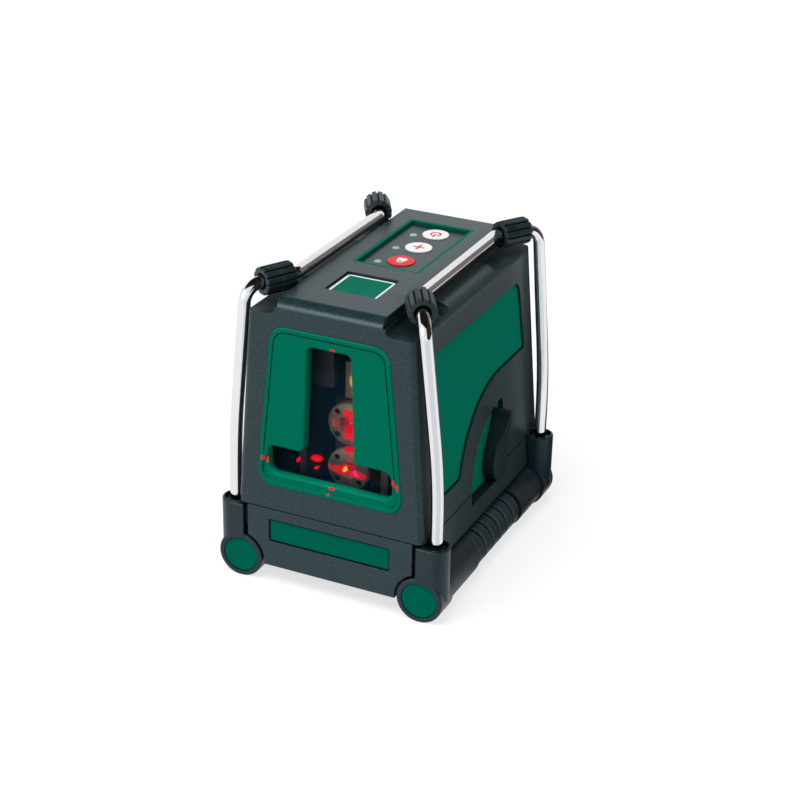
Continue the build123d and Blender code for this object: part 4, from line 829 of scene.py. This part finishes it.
def ribbed_grip():
    """A sleeve round the Y axis with a waist of ribs between narrow grooves."""
    growth = Growth("ribbed_grip")
    ribs = growth.size("Ribs", "NodeSocketInt")
    pitch, waist_middle, radius = [growth.size(name) for name in ("Pitch", "Waist Middle", "Radius")]
    drop, groove, lip, bore = [growth.size(name) for name in ("Rib Drop", "Groove", "Lip", "Bore")]
    front, rear = growth.size("Front"), growth.size("Rear")
    grid, around, along = growth.sheet(GRIP_SIDES, GRIP_ROWS)
    row = along * GRIP_ROWS
    # The last three rows go into the bore at the rear, along it, and out again at the front
    outer_rows = GRIP_ROWS - 3
    inner = (row > outer_rows + 0.5) * (row < outer_rows + 2.5)
    returning = row > outer_rows + 1.5
    y = front + (rear - front) * (row / outer_rows).math("MINIMUM", 1.0) * (1 - returning)
    rib = (y - waist_middle) / pitch + ribs / 2
    beyond = ((0 - rib).math("MAXIMUM", rib - ribs)) * pitch
    from_crest = abs(rib.math("FRACT") - 0.5) * 2
    waist = radius - drop - groove * from_crest.ease(*GRIP_WALL)
    end = radius - (drop + groove) * beyond.ease(lip, 0.0)
    outer = waist + (end - waist) * (beyond > 0.0)
    reach = outer + (bore - outer) * inner
    turn = around * math.tau
    sleeve = growth.bend(grid, reach * turn.math("COSINE"), y, reach * turn.math("SINE"))
    growth.end(sleeve, grip_rubber)
    return growth


def make_grips():
    growth = ribbed_grip()
    for side in SIDES:
        node = "grip_sleeve_" + side
        low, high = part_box(node)
        middle = (low + high) / 2
        sizes = {"Ribs": GRIP_RIBS, "Pitch": GRIP_PITCH, "Waist Middle": GRIP_WAIST_MIDDLE,
                 "Radius": (high.x - low.x) / 2, "Rib Drop": GRIP_RIB_DROP, "Groove": GRIP_GROOVE,
                 "Lip": GRIP_LIP, "Bore": GRIP_BORE, "Front": low.y, "Rear": high.y}
        mesh = growth.mesh("grip", **sizes)
        mesh.transform(Matrix.Translation((middle.x, 0.0, middle.z)))
        piece("ribbed_grip_" + side, mesh, grip_rubber, "housing", node)


# Key marks
MARK_THICKNESS = 0.05 * MM
MARK_STROKE = 0.75 * MM
MARK_RADIUS = 2.3 * MM
MARK_STEPS = 28
POWER_GAP = 35
# Sizes in mark radii, then the padlock's body shift in its height and its bow in its width
POWER_STEM = 1.5
LINE_REACH = 2.2
PADLOCK_WIDTH = 1.7
PADLOCK_HEIGHT = 1.25
PADLOCK_SHIFT = 0.42
PADLOCK_BOW = 0.36


def key_center(node):
    low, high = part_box(node)
    return (low.x + high.x) / 2, (low.y + high.y) / 2, high.z


def bar_outline(center, width, height):
    """A straight stroke, seen from above."""
    x, y = center
    return [(x - width / 2, y - height / 2), (x + width / 2, y - height / 2),
            (x + width / 2, y + height / 2), (x - width / 2, y + height / 2)]


def power_mark():
    """Open ring with a bar, which reads from the rear."""
    x, y, z = key_center("power_button")
    start, stop = -90 + POWER_GAP, 270 - POWER_GAP
    ring = (arc((x, y), MARK_RADIUS, start, stop, MARK_STEPS)
            + arc((x, y), MARK_RADIUS - MARK_STROKE, stop, start, MARK_STEPS))
    stem = bar_outline((x, y - MARK_RADIUS * POWER_STEM / 2), MARK_STROKE, MARK_RADIUS * POWER_STEM)
    return flat_mark("power_mark", [ring, stem], z, MARK_THICKNESS)


def line_mark():
    """A level and an upright line that cross."""
    x, y, z = key_center("line_button")
    reach = MARK_RADIUS * LINE_REACH
    level = bar_outline((x, y), reach, MARK_STROKE)
    half = (reach - MARK_STROKE) / 2
    ends = [bar_outline((x, y + side * (MARK_STROKE + half) / 2), MARK_STROKE, half) for side in (-1, 1)]
    return flat_mark("line_mark", [level] + ends, z, MARK_THICKNESS)


def padlock_mark():
    """Closed padlock, which reads from the rear."""
    x, y, z = key_center("lock_button")
    width, height = MARK_RADIUS * PADLOCK_WIDTH, MARK_RADIUS * PADLOCK_HEIGHT
    body_y = y + height * PADLOCK_SHIFT
    body = bar_outline((x, body_y), width, height)
    bow_y = body_y - height / 2
    outer = width * PADLOCK_BOW
    inner = outer - MARK_STROKE
    bow_middle = (x, bow_y - outer / 2)
    bow = (arc(bow_middle, outer, 180, 360, MARK_STEPS // 2) + [(x + outer, bow_y), (x + inner, bow_y)]
           + arc(bow_middle, inner, 360, 180, MARK_STEPS // 2) + [(x - inner, bow_y), (x - outer, bow_y)])
    return flat_mark("padlock_mark", [body, bow], z, MARK_THICKNESS)


# Line round the plate on the top
BORDER_INSET = 0.7 * MM
BORDER_STROKE = 1.0 * MM
BORDER_RADIUS = 1.6 * MM
BORDER_STEPS = 8


def rounded_corners(low, high, inset, radius):
    """The four corner arcs of the line's edge, in order."""
    x0, x1, y0, y1 = low.x + inset, high.x - inset, low.y + inset, high.y - inset
    centers = ((x1 - radius, y1 - radius), (x0 + radius, y1 - radius),
               (x0 + radius, y0 + radius), (x1 - radius, y0 + radius))
    return [arc(center, radius, 90 * i, 90 * i + 90, BORDER_STEPS) for i, center in enumerate(centers)]


def plate_border():
    """White line with rounded corners: one stroke for each side, from corner to corner."""
    low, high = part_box("top_name_plate")
    outer = rounded_corners(low, high, BORDER_INSET, BORDER_RADIUS)
    inner = rounded_corners(low, high, BORDER_INSET + BORDER_STROKE, BORDER_RADIUS - BORDER_STROKE)
    strokes = []
    for i in range(4):
        strokes.append(outer[i] + outer[(i + 1) % 4][:1] + inner[(i + 1) % 4][:1] + inner[i][::-1])
    return flat_mark("plate_border", strokes, high.z, MARK_THICKNESS)


# Stage
def make_camera():
    azimuth, elevation, roll = (math.radians(a) for a in (CAMERA_AZIMUTH, CAMERA_ELEVATION, CAMERA_ROLL))
    back = Vector((math.sin(azimuth) * math.cos(elevation), -math.cos(azimuth) * math.cos(elevation),
                   math.sin(elevation)))
    level = Vector((math.cos(azimuth), math.sin(azimuth), 0.0))
    upward = back.cross(level)
    right = math.cos(roll) * level + math.sin(roll) * upward
    top = math.cos(roll) * upward - math.sin(roll) * level
    data = bpy.data.cameras.new("camera")
    data.sensor_width = SENSOR_WIDTH
    data.lens = CAMERA_FOCAL_PX / PICTURE_PX * SENSOR_WIDTH
    data.clip_start = CAMERA_NEAR
    camera = new_object("camera", data)
    turn = Matrix((right, top, back)).transposed()
    camera.matrix_world = Matrix.Translation(CAMERA_PLACE) @ turn.to_4x4()
    bpy.context.scene.camera = camera


def make_lights():
    for name, toward, strength, angle, lights in SUNS:
        data = bpy.data.lights.new(name, "SUN")
        data.energy = strength
        data.angle = math.radians(angle)
        sun = new_object(name, data)
        sun.rotation_euler = toward.to_track_quat("Z", "Y").to_euler()
        sun.visible_glossy = lights == "glossy"
        sun.visible_diffuse = lights == "diffuse"
    world = bpy.data.worlds.new("studio")
    bpy.context.scene.world = world
    world.use_nodes = True
    studio = Graph(world.node_tree)
    background = world.node_tree.nodes["Background"]
    studio.plug(background.inputs["Color"], WHITE)
    studio.plug(background.inputs["Strength"], WORLD_LIGHT + seen_ray(studio) * (WORLD_SEEN - WORLD_LIGHT))


def seen_ray(graph):
    """One for rays that show the stage: from the camera, off gloss or through glass."""
    camera, glossy, through = [graph.node("ShaderNodeLightPath", out=name)
                               for name in ("Is Camera Ray", "Is Glossy Ray", "Is Transmission Ray")]
    return (camera + glossy + through).math("MINIMUM", 1.0)


def sheet_mesh(name, corners):
    mesh = bpy.data.meshes.new(name)
    mesh.from_pydata(corners, [], [(0, 1, 2, 3)])
    return mesh


def make_floor():
    mesh = sheet_mesh("floor", [(-FLOOR_HALF, -FLOOR_HALF, 0), (FLOOR_HALF, -FLOOR_HALF, 0),
                                (FLOOR_HALF, FLOOR_HALF, 0), (-FLOOR_HALF, FLOOR_HALF, 0)])
    finish = Finish("floor_paper", Roughness=0.9, Specular_IOR_Level=0.1, Emission_Strength=1.0)
    seen = seen_ray(finish)
    finish.set(Base_Color=finish.blend(seen, FLOOR_BOUNCE, FLOOR_PAPER),
               Emission_Color=finish.blend(seen, BLACK, FLOOR_GLOW))
    mesh.materials.append(finish.material)
    new_object("floor", mesh)


def make_cards():
    """Cards round the object, which show only as dark and grey lines in chrome and less sheen on plastic."""
    for name, (color, *corners) in CARDS.items():
        card = new_object(name, sheet_mesh(name, corners))
        paper = Finish(name, Roughness=1.0, Specular_IOR_Level=0.0, Base_Color=color)
        card.data.materials.append(paper.material)
        for sight in ("camera", "diffuse", "transmission", "volume_scatter", "shadow"):
            setattr(card, "visible_" + sight, False)


# Every node's finish
charcoal = case_plastic("charcoal_plastic")
foot_plastic = moulded("foot_plastic", FOOT_DARK, FOOT_LIGHT, 0.34, gloss=0.4).material
green = satin("green_plastic", GREEN_DARK, GREEN_LIGHT).material
bezel_green = bezel_plastic("bezel_plastic")
panel_green = satin("panel_green", PANEL_DARK, PANEL_LIGHT, gloss=0.008).material
cap_green = satin("cap_green", CAP_DARK, CAP_LIGHT, gloss=0.012).material
plate_green = satin("plate_green", PLATE_DARK, PLATE_LIGHT, gloss=0.012).material
overlay = moulded("overlay_film", OVERLAY_DARK, OVERLAY_LIGHT, 0.32, edge=0.1 * MM).material
lever_black = moulded("lever_plastic", LEVER_DARK, LEVER_LIGHT, 0.36, edge=0.7 * MM, gloss=0.42).material
bumper_rubber = rubber("bumper_rubber", RUBBER_DARK, RUBBER_LIGHT).material
grip_rubber = ribbed_rubber("grip_rubber")
rod_chrome = chrome("rod_chrome")
pane = clear_pane("window_clear")
white_key = satin("white_key", WHITE_KEY_WORN, WHITE_KEY).material
red_key = satin("red_key", RED_KEY_WORN, RED_KEY, gloss=0.4).material
lamp = satin("lamp_lens", LAMP_CLEAR, LAMP_CORE, roughness=0.25).material
board = circuit_board("circuit_board")
anodised = chassis_metal("chassis_alloy")
pendulum = pendulum_metal("pendulum_alloy")
brass = metal("turned_brass", BRASS_DARK, BRASS_LIGHT, 0.36).material
steel = metal("bare_steel", STEEL_DARK, STEEL_LIGHT, 0.3).material
black_oxide = metal("black_oxide", BLACK_OXIDE_DARK, BLACK_OXIDE_LIGHT, 0.4, metallic=0.3).material
copper = metal("copper_plate", COPPER_DARK, COPPER_LIGHT, 0.34).material
acetal = moulded("lock_bar_plastic", ACETAL_DARK, ACETAL_LIGHT, 0.5).material
cells = cell_wrap("cell_wrap")
lens_glass = glass_rod("lens_glass")
lower_laser = lower_head("lower_laser_head")
upper_laser = upper_head("upper_laser_head")

SLOT_FINISHES = {
    "charcoal_plastic": charcoal,
    "green_plastic": green,
    "overlay_grey": overlay,
    "lever_black": lever_black,
    "black_rubber": grip_rubber,
    "chrome_steel": rod_chrome,
    "clear_pane": pane,
    "white_key": white_key,
    "red_key": red_key,
    "lamp_grey": lamp,
    "circuit_board": board,
    "frame_alloy": anodised,
    "brass": brass,
    "laser_alloy": lower_laser,
    "bare_steel": steel,
    "copper": copper,
    "cell_jacket": cells,
    "slide_plastic": acetal,
    "lens_glass": lens_glass,
}
NODE_FINISHES = {
    "front_bezel": bezel_green,
    "base_name_plate": base_plate("base_plate_green"),
    "top_name_plate": plate_green,
    "keypad_frame": plate_green,
    "pendulum_frame": pendulum,
    "upper_lens_cap": upper_laser,
    "lens_screws": black_oxide,
}
for corner in CORNERS:
    NODE_FINISHES["corner_foot_" + corner] = foot_plastic
    NODE_FINISHES["foot_cap_" + corner] = cap_green
for side in SIDES:
    NODE_FINISHES["side_panel_" + side] = panel_green

for subpart in frame["record"]["subparts"]:
    name = subpart["node"]
    material = NODE_FINISHES.get(name, SLOT_FINISHES[subpart["material_slot"]])
    mesh = nodes[name].data
    mesh.materials.clear()
    mesh.materials.append(material)

make_bumpers()
make_grips()
mark_red = satin("mark_red", RED_KEY_WORN, RED_KEY).material
mark_white = satin("mark_white", WHITE_KEY_WORN, WHITE_KEY).material
piece("power_mark", power_mark(), mark_red, "power_key")
piece("line_mark", line_mark(), mark_red, "line_key")
piece("padlock_mark", padlock_mark(), mark_white, "lock_key")
piece("plate_border", plate_border(), mark_white, "housing")

make_floor()
make_cards()
make_lights()
make_camera()
bpy.context.scene.view_settings.view_transform = "Standard"
